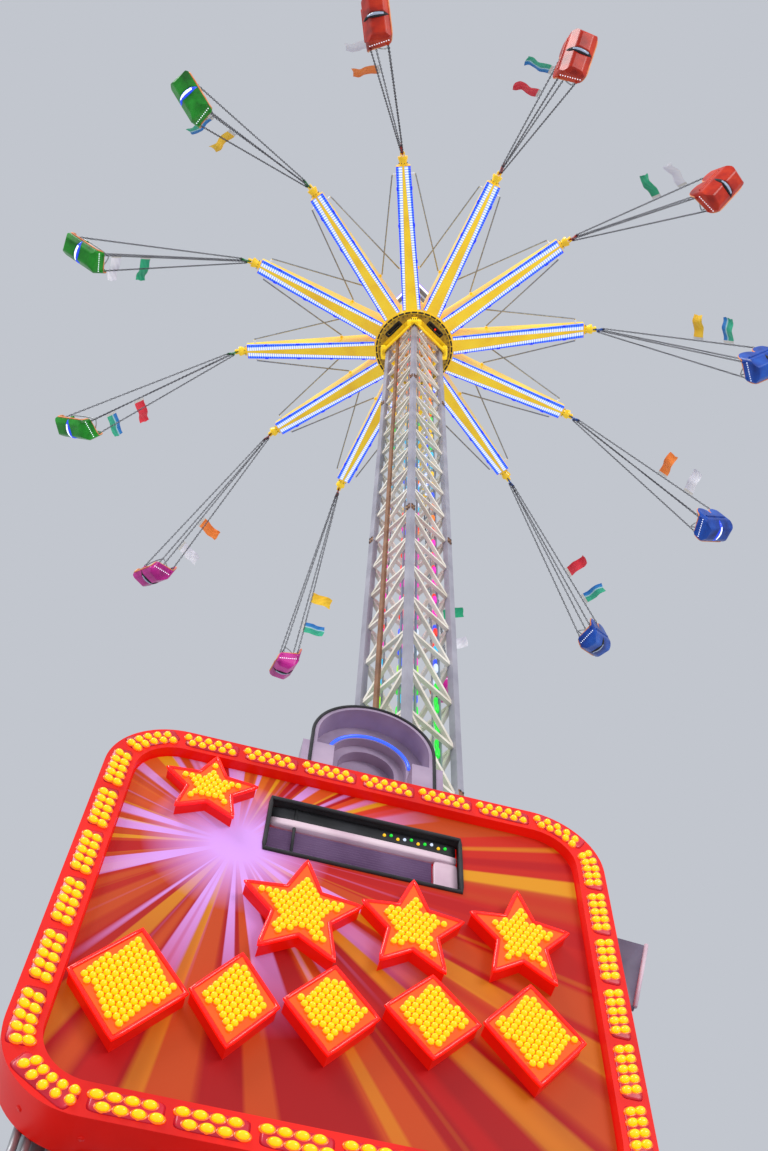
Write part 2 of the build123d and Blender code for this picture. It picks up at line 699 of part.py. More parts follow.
def arm_section(radius, bottom, top, belly_width, width):
    """Outline across the arm at one distance from the axis: a box whose belly hangs below two ledges."""
    plane = Plane(origin=(radius, 0, 0), x_dir=(0, 1, 0), z_dir=(1, 0, 0))
    ledge = bottom + ARM_LEDGE_RISE
    belly, half = belly_width / 2, width / 2
    return plane * make_face(Polyline(
        (-belly, bottom), (belly, bottom), (belly, ledge), (half, ledge), (half, top), (-half, top),
        (-half, ledge), (-belly, ledge), close=True))


def arms():
    """Tapered box beams with a ledge each side for the lit strips, a cross peg and two lugs."""
    start = HUB_RADIUS - HUB_WALL
    root = arm_section(start, ARM_ROOT_BOTTOM_Z, HUB_TOP, ARM_ROOT_BELLY_WIDTH, ARM_ROOT_WIDTH)
    tip = arm_section(ARM_TIP_RADIUS, ARM_TIP_BOTTOM_Z, ARM_TIP_TOP_Z, ARM_TIP_BELLY_WIDTH,
                      ARM_TIP_WIDTH)
    arm = loft([root, tip], ruled=True)
    arm -= Pos(0, 0, HUB_TOP) * Cylinder(HUB_RADIUS + ARM_SEAT_GAP, 4 * (HUB_TOP - ARM_ROOT_BOTTOM_Z))
    arm += rod((PEG_RADIUS_OUT, -PEG_REACH, PEG_Z), (PEG_RADIUS_OUT, PEG_REACH, PEG_Z), PEG_DIAMETER)
    arm += Pos(LUG_RADIUS_OUT, 0, LUG_Z) * Box(LUG_SIZE, 2 * LUG_REACH, LUG_SIZE)
    return [turned(arm, azimuth) for azimuth in arm_azimuths()]


def polar(radius, across, azimuth, z):
    """A point given along and across an arm."""
    a = math.radians(azimuth)
    return (radius * math.cos(a) - across * math.sin(a), radius * math.sin(a) + across * math.cos(a), z)


def stay_rods():
    """A crossed pair of stays in every gap, from one arm's peg to the next arm's lug."""
    step = 360 / ARMS
    out = PEG_REACH + STAY_GAP + STAY_DIAMETER / 2
    near = LUG_REACH + STAY_GAP + STAY_DIAMETER / 2
    first = rod(polar(PEG_RADIUS_OUT, out, 0, PEG_Z), polar(LUG_RADIUS_OUT, -near, step, LUG_Z),
                STAY_DIAMETER)
    second = rod(polar(PEG_RADIUS_OUT, -out, step, PEG_Z), polar(LUG_RADIUS_OUT, near, 0, LUG_Z),
                 STAY_DIAMETER)
    cross = first + second
    return [turned(cross, azimuth) for azimuth in arm_azimuths()]


def pivot_frame(azimuth):
    """Place of a chair's hinge: X swings outwards, Y is the way of travel."""
    x, y, z = polar(PIVOT_RADIUS_OUT, 0, azimuth, PIVOT_Z)
    return Pos(x, y, z) * Rot(0, 0, azimuth - TRAIL_ANGLE)


def swivel_ears():
    """Two ears and the hinge pin, at the pivot."""
    inner = EYE_WIDTH / 2 + EAR_GAP
    reach = PIVOT_RADIUS_OUT - ARM_TIP_RADIUS - CAP_LENGTH
    half = EAR_HEIGHT / 2
    ears = None
    for side in (-1, 1):
        y0, y1 = sorted((side * inner, side * (inner + EAR_THICKNESS)))
        ear = box(-reach - EAR_BITE, PIVOT_PIN_RADIUS + EAR_LIP, y0, y1, -half, half)
        ears = ear if ears is None else ears + ear
    ears += Rot(90, 0, 0) * Cylinder(PIVOT_PIN_RADIUS, 2 * (inner + EAR_THICKNESS + PIN_HEAD))
    return ears


def arm_end_caps():
    """Flanged cap on each arm's tip, with the ears that hold the chair's swivel."""
    flange_start = CAP_LENGTH - CAP_FLANGE_LENGTH
    profile = Polyline(
        (0, 0), (CAP_RADIUS, 0), (CAP_RADIUS, flange_start / 2),
        (CAP_FLANGE_RADIUS, flange_start), (CAP_FLANGE_RADIUS, CAP_LENGTH), (0, CAP_LENGTH),
        close=True)
    cup = revolve(Plane.XZ * make_face(profile), Axis.Z)
    cup = Pos(ARM_TIP_RADIUS, 0, CAP_Z) * Rot(0, 90, 0) * cup
    cap = cup + pivot_frame(0) * swivel_ears()
    return [turned(cap, azimuth) for azimuth in arm_azimuths()]


# Chairs, drawn at the pivot with the chains hanging down

def tub_outline():
    """Side view of the tub: high back, deep seat, low front."""
    face = make_face(Polyline(*TUB_SIDE_POINTS, close=True))
    rounded = [v for v in face.vertices() if v.Y < TUB_SHOULDER_TOP]
    return fillet(rounded, TUB_SIDE_RADIUS)


def seat_outline():
    """Side view of the hollow: the back and seat surfaces, open above and in front."""
    face = make_face(Polyline(*SEAT_SIDE_POINTS, close=True))
    rounded = [v for v in face.vertices() if v.Y < 0 and v.X < 0]
    return fillet(rounded, SEAT_SIDE_RADIUS)


def rounded_rectangle(x0, x1, y0, y1, radius):
    """A rounded rectangle from its low and high sides."""
    return Pos((x0 + x1) / 2, (y0 + y1) / 2) * RectangleRounded(x1 - x0, y1 - y0, radius)


def front_outline():
    """Front view of the tub: two round-bottomed lobes joined by a web, a headrest above each."""
    half = TUB_WIDTH / 2
    outline = Rectangle(2 * LOBE_RADIUS, 2 * (TUB_SHOULDER_TOP - TUB_WALL))
    for side in (-1, 1):
        x0, x1 = sorted((0, side * half))
        outline += rounded_rectangle(x0, x1, TUB_UNDERSIDE, TUB_SHOULDER_TOP, LOBE_RADIUS)
        outline += Pos(side * TUB_HUMP_OFFSET, TUB_BACK_TOP - TUB_HUMP_RADIUS) * Circle(TUB_HUMP_RADIUS)
    return outline


def seat_hollow(side_view, front_view):
    """One rider's bucket, rounded like the lobe round it."""
    inner, outer = TUB_DIVIDER / 2, TUB_WIDTH / 2 - TUB_WALL
    hollow = extrude(side_view * seat_outline(), TUB_WIDTH, both=True)
    round_bottom = rounded_rectangle(inner, outer, TUB_UNDERSIDE + TUB_WALL,
                                     TUB_OPEN_TOP + LOBE_RADIUS, LOBE_RADIUS - TUB_WALL)
    hollow &= extrude(front_view * round_bottom, TUB_WIDTH, both=True)
    round_back = rounded_rectangle(inner, outer, TUB_BACK + TUB_WALL, TUB_WIDTH,
                                   TUB_PLAN_RADIUS - TUB_WALL)
    return hollow & extrude(round_back, TUB_WIDTH, both=True)


def tub():
    """Moulded two-seat tub: two round-bottomed buckets, a low divider and a crowned back."""
    side_view = Plane(origin=(0, 0, 0), x_dir=(0, 1, 0), z_dir=(1, 0, 0))
    front_view = Plane(origin=(0, 0, 0), x_dir=(1, 0, 0), z_dir=(0, -1, 0))
    half = TUB_WIDTH / 2
    shell = extrude(side_view * tub_outline(), half, both=True)
    shell &= extrude(front_view * front_outline(), TUB_WIDTH, both=True)
    plan = rounded_rectangle(-half, half, TUB_BACK, TUB_FRONT, TUB_PLAN_RADIUS)
    shell &= extrude(plan, TUB_WIDTH, both=True)
    hollow = seat_hollow(side_view, front_view)
    shell -= hollow
    shell -= mirror(hollow, about=Plane.YZ)
    shell -= box(-TUB_DIVIDER, TUB_DIVIDER, DIVIDER_BACK, half, TUB_DIVIDER_TOP, TUB_OPEN_TOP)
    rib = Rot(0, 90, 0) * Cylinder(TUB_RIB_RADIUS, TUB_WIDTH - 2 * TUB_RIB_INSET)
    shell += Pos(0, *TUB_RIB_PLACE) * rib
    shell += [Pos(*place) * Box(TUB_LUG, TUB_LUG, TUB_LUG) for place in tub_lugs()]
    return shell


def tub_lugs():
    """Centres of the four chain lugs, on the end walls of the tub."""
    x = TUB_WIDTH / 2 + TUB_LUG_PROUD - TUB_LUG / 2
    return [(sx * x, y, z) for sx in (-1, 1) for y, z in TUB_LUG_PLACES]


def chain_ends():
    """Top and bottom point of each chain."""
    top_z = -SHANK_LENGTH - CROSSBAR_HEIGHT - CHAIN_GAP
    ends = []
    for x, y, z in tub_lugs():
        top_x = math.copysign(CROSSBAR_LENGTH / 2 - CHAIN_DIAMETER / 2, x)
        top_y = math.copysign(CROSSBAR_WIDTH / 2 - CHAIN_DIAMETER / 2, y)
        bottom = (x, y, z + TUB_LUG / 2 + CHAIN_GAP - HANG_LENGTH)
        ends.append(((top_x, top_y, top_z), bottom))
    return ends


def swivel():
    """Eye round the hinge pin, shank and crossbar."""
    eye = Cylinder(EYE_RADIUS, EYE_WIDTH)
    eye = Rot(90, 0, 0) * eye
    link = eye + Pos(0, 0, -SHANK_LENGTH / 2) * Cylinder(SHANK_DIAMETER / 2, SHANK_LENGTH)
    link -= Rot(90, 0, 0) * Cylinder(PIVOT_PIN_RADIUS + PIVOT_BORE_CLEARANCE, 2 * EYE_WIDTH)
    z = -SHANK_LENGTH - CROSSBAR_HEIGHT / 2
    return link + Pos(0, 0, z) * Box(CROSSBAR_LENGTH, CROSSBAR_WIDTH, CROSSBAR_HEIGHT)


def flag(start, end, share):
    """A flag laced to a chain by its short side, trailing behind."""
    top, bottom = Vector(*start), Vector(*end)
    along = (bottom - top).normalized()
    trail = Vector(0, -1, 0)
    trail = (trail - along * trail.dot(along)).normalized()
    out = CHAIN_DIAMETER / 2 + CHAIN_GAP + FLAG_FLY / 2
    centre = top + (bottom - top) * share + trail * out
    plane = Plane(origin=centre, x_dir=trail, z_dir=trail.cross(along))
    return extrude(plane * Rectangle(FLAG_FLY, FLAG_HOIST), FLAG_THICKNESS / 2, both=True)


def hanger():
    """Swivel, four chains and two flags on the outer trailing chain."""
    solids = [swivel()]
    for start, end in chain_ends():
        solids.append(rod(start, end, CHAIN_DIAMETER, 6))
        if end[0] > 0 and end[1] < 0:
            solids += [flag(start, end, share) for share in FLAG_SHARES]
    return solids


# Sign and gate, drawn flat: X along the board, Y up from its lower edge, Z towards the visitor

def sign_plane():
    """Plane of the board's face, its origin in the middle of the lower edge."""
    turn = math.radians(SIGN_TURN)
    return Plane(origin=(SIGN_CENTRE[0], SIGN_CENTRE[1], SIGN_BOTTOM),
                 x_dir=(math.cos(turn), math.sin(turn), 0),
                 z_dir=(math.sin(turn), -math.cos(turn), 0))


def in_sign(shape):
    """A shape drawn in the sign's own axes, put in place."""
    return sign_plane().location * shape


def sign_board():
    """Light box with rounded corners, a raised rim and a window recess."""
    middle = SIGN_HEIGHT / 2
    outline = Pos(0, middle) * RectangleRounded(SIGN_WIDTH, SIGN_HEIGHT, SIGN_CORNER)
    field = Pos(0, middle) * RectangleRounded(
        SIGN_WIDTH - 2 * SIGN_RIM_WIDTH, SIGN_HEIGHT - 2 * SIGN_RIM_WIDTH, SIGN_CORNER - SIGN_RIM_WIDTH)
    board = extrude(outline, -SIGN_THICKNESS)
    board += extrude(outline - field, SIGN_RIM_PROUD)
    window = extrude(Pos(WINDOW_ACROSS, WINDOW_RISE) * Rectangle(*WINDOW_SIZE), -WINDOW_DEPTH)
    return [in_sign(board - window)]


def star_outline(half_width, half_height):
    """A five-pointed star between an outer and an inner ellipse."""
    points = []
    for n in range(2 * STAR_POINTS):
        share = 1.0 if n % 2 == 0 else STAR_INNER_SHARE
        angle = math.radians(90 + 180 / STAR_POINTS * n)
        points.append((half_width * share * math.cos(angle), half_height * share * math.sin(angle)))
    return make_face(Polyline(*points, close=True))


def diamond_outline(half_width, half_height):
    """A square on its corner, as wide and as high as given."""
    return make_face(Polyline((half_width, 0), (0, half_height), (-half_width, 0), (0, -half_height),
                              close=True))


def sign_star():
    """Raised five-pointed star at the board's upper left."""
    star = Pos(STAR_ACROSS, STAR_RISE) * star_outline(STAR_RADIUS, STAR_RADIUS)
    return [in_sign(extrude(star, STAR_THICKNESS))]


def sign_shapes():
    """Raised lamp shapes on the board: a row of stars above a row of diamonds."""
    middle = SIGN_HEIGHT / 2
    shapes = [Pos(x, middle + y) * star_outline(w, h) for x, y, w, h in ROW_STARS]
    shapes += [Pos(x, middle + y) * diamond_outline(w, h) for x, y, w, h in ROW_DIAMONDS]
    return [in_sign(extrude(shape, SHAPE_THICKNESS)) for shape in shapes]


def post_axis_depth():
    """How far the posts' axes stand behind the board's face."""
    return SIGN_THICKNESS + FRAME_BAR + POST_DIAMETER / 2 - POST_NOTCH


def post_notches():
    """Round grooves in what bears on the posts."""
    radius = POST_DIAMETER / 2 + POST_SEAT_CLEARANCE
    return [
        Pos(side * POST_OFFSET, 0, -post_axis_depth()) * Rot(90, 0, 0)
        * Cylinder(radius, 4 * SIGN_BOTTOM)
        for side in (-1, 1)
    ]


def sign_frame():
    """Ladder frame behind the board, notched over the posts."""
    outer = Rectangle(SIGN_WIDTH - 2 * FRAME_INSET, SIGN_HEIGHT - 2 * FRAME_INSET)
    inner = Rectangle(SIGN_WIDTH - 2 * FRAME_INSET - 2 * FRAME_BAR,
                      SIGN_HEIGHT - 2 * FRAME_INSET - 2 * FRAME_BAR)
    rails = outer - inner + Rectangle(SIGN_WIDTH - 2 * FRAME_INSET, FRAME_BAR)
    frame = Pos(0, SIGN_HEIGHT / 2, -SIGN_THICKNESS) * extrude(rails, -FRAME_BAR)
    for notch in post_notches():
        frame -= notch
    return [in_sign(frame)]


def gate_beam():
    """Dark beam under the board, seated against both posts."""
    top = -BEAM_DROP
    length = 2 * POST_OFFSET + 2 * POST_DIAMETER
    beam = box(-length / 2, length / 2, top - BEAM_HEIGHT, top, -SIGN_THICKNESS - FRAME_BAR,
               -SIGN_THICKNESS + FRAME_BAR)
    for notch in post_notches():
        beam -= notch
    return [in_sign(beam)]


def gate_posts():
    """Two round posts on square feet, up behind the board, each with a tie bar to the deck edge."""
    top = SIGN_BOTTOM + SIGN_HEIGHT - POST_TOP_INSET
    edge = -DECK_EDGE - STEP_GAP
    half = TIE_BAR / 2
    posts = []
    for side in (-1, 1):
        post = Pos(0, 0, top / 2) * Cylinder(POST_DIAMETER / 2, top)
        post += Pos(0, 0, POST_FOOT_THICKNESS / 2) * Box(POST_FOOT_SIDE, POST_FOOT_SIDE,
                                                         POST_FOOT_THICKNESS)
        place = Pos(side * POST_OFFSET, -SIGN_BOTTOM, -post_axis_depth()) * Rot(-90, 0, 0)
        foot = (sign_plane().location * place).position
        tie = box(foot.X - half, foot.X + half, foot.Y, edge, DECK_TOP - TIE_BAR, DECK_TOP)
        posts.append(in_sign(place * post) + tie)
    return posts


def stilted_arch(radius):
    """A half circle on straight legs that stand on the sign's frame."""
    foot = SIGN_HEIGHT - FRAME_INSET
    centre = SIGN_HEIGHT + ARCH_RISE
    legs = box_outline(ARCH_ACROSS - radius, ARCH_ACROSS + radius, foot, centre)
    return Pos(ARCH_ACROSS, centre) * Circle(radius) + legs


def sign_arch():
    """Deep half-round niche above the board: a hood, stepped rings inside it and a closed back."""
    back = -SIGN_THICKNESS - ARCH_DEPTH
    foot = SIGN_HEIGHT - FRAME_INSET
    arch = None
    for radius, rise in ARCH_RINGS:
        ring = Pos(0, 0, back) * extrude(stilted_arch(radius), rise)
        if arch is None:
            arch = ring
        else:
            arch -= Pos(0, 0, back + rise) * extrude(stilted_arch(radius), ARCH_DEPTH)
    for side in (-1, 1):
        x0, x1 = sorted((ARCH_ACROSS + side * SHOULDER_INNER, ARCH_ACROSS + side * SHOULDER_OUTER))
        arch += box(x0, x1, foot, SIGN_HEIGHT + SHOULDER_RISE, -SIGN_THICKNESS - SHOULDER_DEPTH,
                    -SIGN_THICKNESS)
    return [in_sign(arch)]


def main():
    os.makedirs("parts", exist_ok=True)
    save("base_plinth", base_plinth())
    save("outriggers", outriggers())
    save("base_pads", base_pads())
    save("hoist_winch", hoist_winch())
    save("tower_columns", tower_columns())
    for name, panel in tower_bracing().items():
        save(f"tower_bracing_{name}", [panel])
    save("tower_conduits", tower_conduits())
    save("riser_pipe", riser_pipe())
    save("tower_head", tower_head())
    save("head_sheaves", head_sheaves())
    save("hoist_ropes", hoist_ropes())
    save("deck_panels", deck_panels())
    save("deck_joists", deck_joists())
    save("deck_fence", deck_fence())
    save("deck_steps", deck_steps())
    save("sign_board", sign_board())
    save("sign_star", sign_star())
    save("sign_shapes", sign_shapes())
    save("sign_frame", sign_frame())
    save("sign_arch", sign_arch())
    save("gate_posts", gate_posts())
    save("gate_beam", gate_beam())
    save("carriage_frame", carriage_frame())
    save("carriage_rollers", carriage_rollers())
    save("slew_plate", slew_plate())
    save("slew_ring", slew_ring())
    save("arms", arms())
    save("arm_end_caps", arm_end_caps())
    save("stay_rods", stay_rods())
    seat = Pos(0, 0, -HANG_LENGTH) * tub()
    chains = hanger()
    for n, azimuth in enumerate(arm_azimuths(), start=1):
        swung = pivot_frame(azimuth) * Rot(0, -SWING_ANGLE, 0)
        save(f"tub_{n:02d}", [swung * seat])
        save(f"hanger_{n:02d}", [swung * shape for shape in chains])


main()
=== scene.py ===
# %% [markdown]
# # Dressing a swing ride
# The rigid parts of this scale model come from a CAD model. This lesson adds what gives a fairground
# ride its life: lit strips on the arms, lamps in the tower, a bulb-rimmed sign, chains made of real
# links, cloth flags and moulded trim. Every new shape is a surface worked out with numpy. Lengths
# are written in millimetres, as on a drawing, and turned to metres when a mesh is made.

# %% Load the CAD frame
import bpy
import math
import numpy as np
from mathutils import Matrix


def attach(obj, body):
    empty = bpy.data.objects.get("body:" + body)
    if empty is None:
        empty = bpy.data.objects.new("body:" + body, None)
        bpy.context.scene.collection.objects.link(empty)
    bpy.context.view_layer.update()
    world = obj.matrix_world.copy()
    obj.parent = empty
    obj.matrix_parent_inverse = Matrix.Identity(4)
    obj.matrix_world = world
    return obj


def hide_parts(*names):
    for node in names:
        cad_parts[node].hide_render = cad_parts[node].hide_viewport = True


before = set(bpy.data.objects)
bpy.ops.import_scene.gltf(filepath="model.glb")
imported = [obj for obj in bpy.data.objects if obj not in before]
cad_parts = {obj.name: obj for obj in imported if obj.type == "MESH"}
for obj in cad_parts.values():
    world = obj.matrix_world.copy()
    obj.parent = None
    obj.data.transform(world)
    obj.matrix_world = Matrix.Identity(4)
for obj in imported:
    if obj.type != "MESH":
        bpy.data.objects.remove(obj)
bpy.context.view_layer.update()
MM = 0.001

# %% [markdown]
# ## Small tools for shapes
# Four kinds of surface are enough for nearly everything here: a turned shape, a rounded block, a
# tube along a path and a patch on a grid. A shape that is repeated is worked out once and then
# copied by an array of 4 x 4 placements, so that no loop runs over vertices.

# %% Turned shapes and rounded blocks


def full_turn(count):
    """Even angles once round."""
    return np.arange(count) * 2 * np.pi / count


def arc(centre, radius, angles, across=(1, 0, 0), up=(0, 0, 1)):
    """Points round a centre: the cosine runs along one axis and the sine along the other."""
    return centre + radius * (np.outer(np.cos(angles), across) + np.outer(np.sin(angles), up))


def quads(rows, columns, close_rows=0, close_columns=0):
    """Faces between neighbours on a grid of points, which may close on itself either way."""
    index = np.arange(rows * columns).reshape(rows, columns)
    index = np.pad(index, ((0, close_rows), (0, close_columns)), "wrap")
    corners = [index[:-1, :-1], index[:-1, 1:], index[1:, 1:], index[1:, :-1]]
    return np.stack(corners, -1).reshape(-1, 4).tolist()


def close_rings(points, rings, sides, first, last):
    """Quads between neighbouring rings of a grid, and a fan of triangles to a point at each end."""
    n = np.arange(sides)
    ahead, low, start = (n + 1) % sides, rings * sides, (rings - 1) * sides
    fans = [np.stack([ahead, n, np.full(sides, low)], -1),
            np.stack([start + n, start + ahead, np.full(sides, low + 1)], -1)]
    return np.vstack([points, [first], [last]]), quads(rings, sides, 0, 1) + np.vstack(fans).tolist()


def turned_shape(radii, heights, sides):
    """Surface of revolution about Z: ring i has radius radii[i] at heights[i]; each end closes in a point."""
    angle = full_turn(sides)
    rings = np.stack([np.outer(radii, np.cos(angle)), np.outer(radii, np.sin(angle)),
                      np.repeat(np.array(heights)[:, None], sides, 1)], -1).reshape(-1, 3)
    return close_rings(rings, len(radii), sides, (0, 0, heights[0]), (0, 0, heights[-1]))


def rounded_block(length, width, height, power=0.3, sides=20, rings=4):
    """Superellipsoid: each cosine and sine of a sphere's two angles is raised to a small power."""
    def soft(values):
        """Each value raised to the power, with its sign kept."""
        return np.sign(values) * np.abs(values) ** power
    up = np.linspace(-np.pi / 2, np.pi / 2, rings + 2)[1:-1]
    around = (np.arange(sides) + 0.5) * 2 * np.pi / sides
    x = length / 2 * np.outer(soft(np.cos(up)), soft(np.cos(around)))
    y = width / 2 * np.outer(soft(np.cos(up)), soft(np.sin(around)))
    z = height / 2 * np.repeat(soft(np.sin(up))[:, None], sides, 1)
    points = np.stack([x, y, z], -1).reshape(-1, 3)
    return close_rings(points, rings, sides, (0, 0, -height / 2), (0, 0, height / 2))


def hexagon_head(across_flats, height):
    """Hexagon prism with a chamfered top: six corners, drawn in over the last fifth of the height."""
    corner = across_flats / math.sqrt(3)
    return turned_shape([corner, corner, corner, corner * 0.8], [-0.2, 0, height * 0.8, height], 6)


# %% Tubes and patches


def tube(path, radius, sides=8, closed=False):
    """Circles across a path, their axes the path's normal and binormal; the radius may vary along it."""
    path = np.asarray(path, float)
    radius = np.broadcast_to(np.asarray(radius, float), len(path))[:, None, None]
    step = np.roll(path, -1, 0) - np.roll(path, 1, 0) if closed else np.gradient(path, axis=0)
    tangent = step / np.linalg.norm(step, axis=1)[:, None]
    guide = np.eye(3)[np.argmin(np.abs(tangent).sum(0))]
    side = np.cross(tangent, guide)
    side /= np.linalg.norm(side, axis=1)[:, None]
    other = np.cross(tangent, side)
    angle = full_turn(sides)[None, :, None]
    points = path[:, None] + radius * (np.cos(angle) * side[:, None] + np.sin(angle) * other[:, None])
    points = points.reshape(-1, 3)
    if closed:
        return points, quads(len(path), sides, 1, 1)
    return close_rings(points, len(path), sides, path[0], path[-1])


def patch(points):
    """Quads over a grid of points of shape (rows, columns, 3)."""
    return points.reshape(-1, 3), quads(*points.shape[:2])


def along_edges(corners, steps):
    """Points at an even pitch along each side of a closed outline."""
    share = np.linspace(0, 1, steps, endpoint=False)[None, :, None]
    corners = np.asarray(corners, float)
    ahead = np.roll(corners, -1, 0)
    return (corners[:, None] * (1 - share) + ahead[:, None] * share).reshape(-1, corners.shape[1])


# %% Placements and copies
# X and Y axes of a shape whose own Z then points down, and of one whose Z points along +X.
TURNED_OVER = ((1, 0, 0), (0, -1, 0))
FACING_OUT = ((0, 1, 0), (0, 0, 1))


def placement(origin, x_axis=(1, 0, 0), y_axis=(0, 1, 0)):
    """4 x 4 placements from origins and two axes, which may be single vectors or arrays of them."""
    origin, x_axis, y_axis = np.broadcast_arrays(
        np.atleast_2d(np.asarray(origin, float)), np.asarray(x_axis, float), np.asarray(y_axis, float))
    x_axis = x_axis / np.linalg.norm(x_axis, axis=1)[:, None]
    z_axis = np.cross(x_axis, y_axis)
    z_axis /= np.linalg.norm(z_axis, axis=1)[:, None]
    made = np.zeros((len(origin), 4, 4))
    made[:, :3, 0], made[:, :3, 1], made[:, :3, 2] = x_axis, np.cross(z_axis, x_axis), z_axis
    made[:, :3, 3], made[:, 3, 3] = origin, 1
    return made


def turns(count, first=0.0):
    """Even rotations about Z, as 4 x 4 matrices; the first one is by an angle in degrees."""
    angle = math.radians(first) + full_turn(count)
    made = np.tile(np.eye(4), (count, 1, 1))
    made[:, 0, 0], made[:, 0, 1], made[:, 1, 0], made[:, 1, 1] = (
        np.cos(angle), -np.sin(angle), np.sin(angle), np.cos(angle))
    return made


def copies(shape, places):
    """The shape once at each placement: every point is multiplied by every 4 x 4 matrix at once."""
    points, faces = shape
    places = np.reshape(places, (-1, 4, 4))
    placed = points @ np.swapaxes(places[:, :3, :3], 1, 2) + places[:, None, :3, 3]
    count = len(points)
    every = [[v + n * count for v in face] for n in range(len(places)) for face in faces]
    return placed.reshape(-1, 3), every


def set_at(shape, origin, x_axis=(1, 0, 0), y_axis=(0, 1, 0)):
    """The shape once at each origin, its X and Y turned to the two axes."""
    return copies(shape, placement(origin, x_axis, y_axis))


def together(*shapes):
    """Several shapes as one."""
    points, faces, start = [], [], 0
    for shape_points, shape_faces in shapes:
        points.append(shape_points)
        faces += [[v + start for v in face] for face in shape_faces]
        start += len(shape_points)
    return np.vstack(points), faces


def piece(name, body, shape, materials, slot=None, smooth=True, choice=None, uv=None):
    """Puts a shape into a mesh that rides on a body. choice gives each face its material."""
    points, faces = shape
    mesh = bpy.data.meshes.new(name)
    mesh.from_pydata((points * MM).tolist(), [], faces)
    made = bpy.data.objects.new(name, mesh)
    bpy.context.scene.collection.objects.link(made)
    for material in materials if isinstance(materials, list) else [materials]:
        mesh.materials.append(material)
    if choice is not None:
        mesh.polygons.foreach_set("material_index", np.asarray(choice, np.int32))
    if uv is not None:
        layer = mesh.uv_layers.new(name="UVMap")
        corner = np.zeros(len(mesh.loops), np.int32)
        mesh.loops.foreach_get("vertex_index", corner)
        layer.data.foreach_set("uv", np.asarray(uv, np.float32)[corner].ravel())
    mesh.polygons.foreach_set("use_smooth", np.full(len(mesh.polygons), smooth))
    mesh.update()
    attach(made, body)
    print(name, "faces:", len(faces))
    return made


# %% [markdown]
# ## Small tools for finishes
# A colour is written as the hex code a painter's chart gives and turned to linear light once, in
# one place. Every material is one Principled shader. Its even values sit on the shader's own
# sockets. What varies over the surface, such as colour, grime and orange peel, comes from noise on
# Object coordinates, with each pattern's size given in millimetres.

# %% Colours and nodes


def linear(code):
    """sRGB hex to linear light: c / 12.92 near black, otherwise ((c + 0.055) / 1.055) to the power 2.4."""
    c = np.array([int(code[n:n + 2], 16) for n in (1, 3, 5)]) / 255
    return (*np.where(c <= 0.04045, c / 12.92, ((c + 0.055) / 1.055) ** 2.4).tolist(), 1.0)


def put(tree, kind, sockets=None, **settings):
    """Adds one node with its settings; a socket's value is a number, a colour or another node's output."""
    made = tree.nodes.new("ShaderNode" + kind)
    for name, value in settings.items():
        setattr(made, name, value)
    for name, value in (sockets or {}).items():
        if isinstance(value, bpy.types.NodeSocket):
            tree.links.new(value, made.inputs[name])
        else:
            made.inputs[name].default_value = value
    return made


def new_material(name, glow=None, **even):
    """One Principled shader. Even values use socket names with _ for a space; glow is (colour, strength)."""
    material = bpy.data.materials.new(name)
    material.use_nodes = True
    tree = material.node_tree
    tree.nodes.clear()
    values = {key.replace("_", " "): value for key, value in even.items()}
    if glow:
        values["Emission Color"], values["Emission Strength"] = linear(glow[0]), glow[1]
    shader = put(tree, "BsdfPrincipled", values)
    put(tree, "OutputMaterial", {"Surface": shader.outputs[0]})
    return material, tree, shader


def tones(tree, factor, stops, shader=None, socket="Base Color"):
    """A ramp of hex colours over a factor, linked to a socket of the shader."""
    ramp = put(tree, "ValToRGB", {"Fac": factor})
    while len(ramp.color_ramp.elements) < len(stops):
        ramp.color_ramp.elements.new(0.5)
    for element, (at, code) in zip(ramp.color_ramp.elements, sorted(stops.items())):
        element.position = at
        element.color = linear(code)
    if shader is not None:
        tree.links.new(ramp.outputs[0], shader.inputs[socket])
    return ramp.outputs[0]


def cloud(tree, size, detail=4.0):
    """Noise whose blotches are about size millimetres across."""
    place = put(tree, "TexCoord").outputs["Object"]
    return put(tree, "TexNoise", {"Vector": place, "Scale": 1 / (size * MM), "Detail": detail}).outputs[0]


def relief(tree, shader, height, depth, strength=0.5):
    """A bump whose full height is depth millimetres."""
    bump = put(tree, "Bump", {"Height": height, "Distance": depth * MM, "Strength": strength})
    tree.links.new(bump.outputs[0], shader.inputs["Normal"])


def surface(name, stops, patch_size, grain, depth, wear=0.12, **even):
    """Paint or metal: colour drifts over patches, gloss over smaller ones, with a fine relief."""
    material, tree, shader = new_material(name, **even)
    tones(tree, cloud(tree, patch_size), stops, shader)
    gloss = put(tree, "MapRange", {"Value": cloud(tree, patch_size / 3), "To Min": even["Roughness"] - wear,
                                   "To Max": even["Roughness"] + wear})
    tree.links.new(gloss.outputs[0], shader.inputs["Roughness"])
    relief(tree, shader, cloud(tree, grain, 2.0), depth)
    return material


# %% [markdown]
# ## Paints and metals
# The ride is painted steel. The lattice is cream and the columns are a light grey with a lilac
# cast, both satin and a little grimy. The star and its hub are a bright chrome-free yellow enamel
# with a thick glossy coat. Shafts and chains are galvanised and handled, so they are darker and
# mottled. Each line gives the colours, then the sizes of the blotches and the grain, and the
# grain's depth.

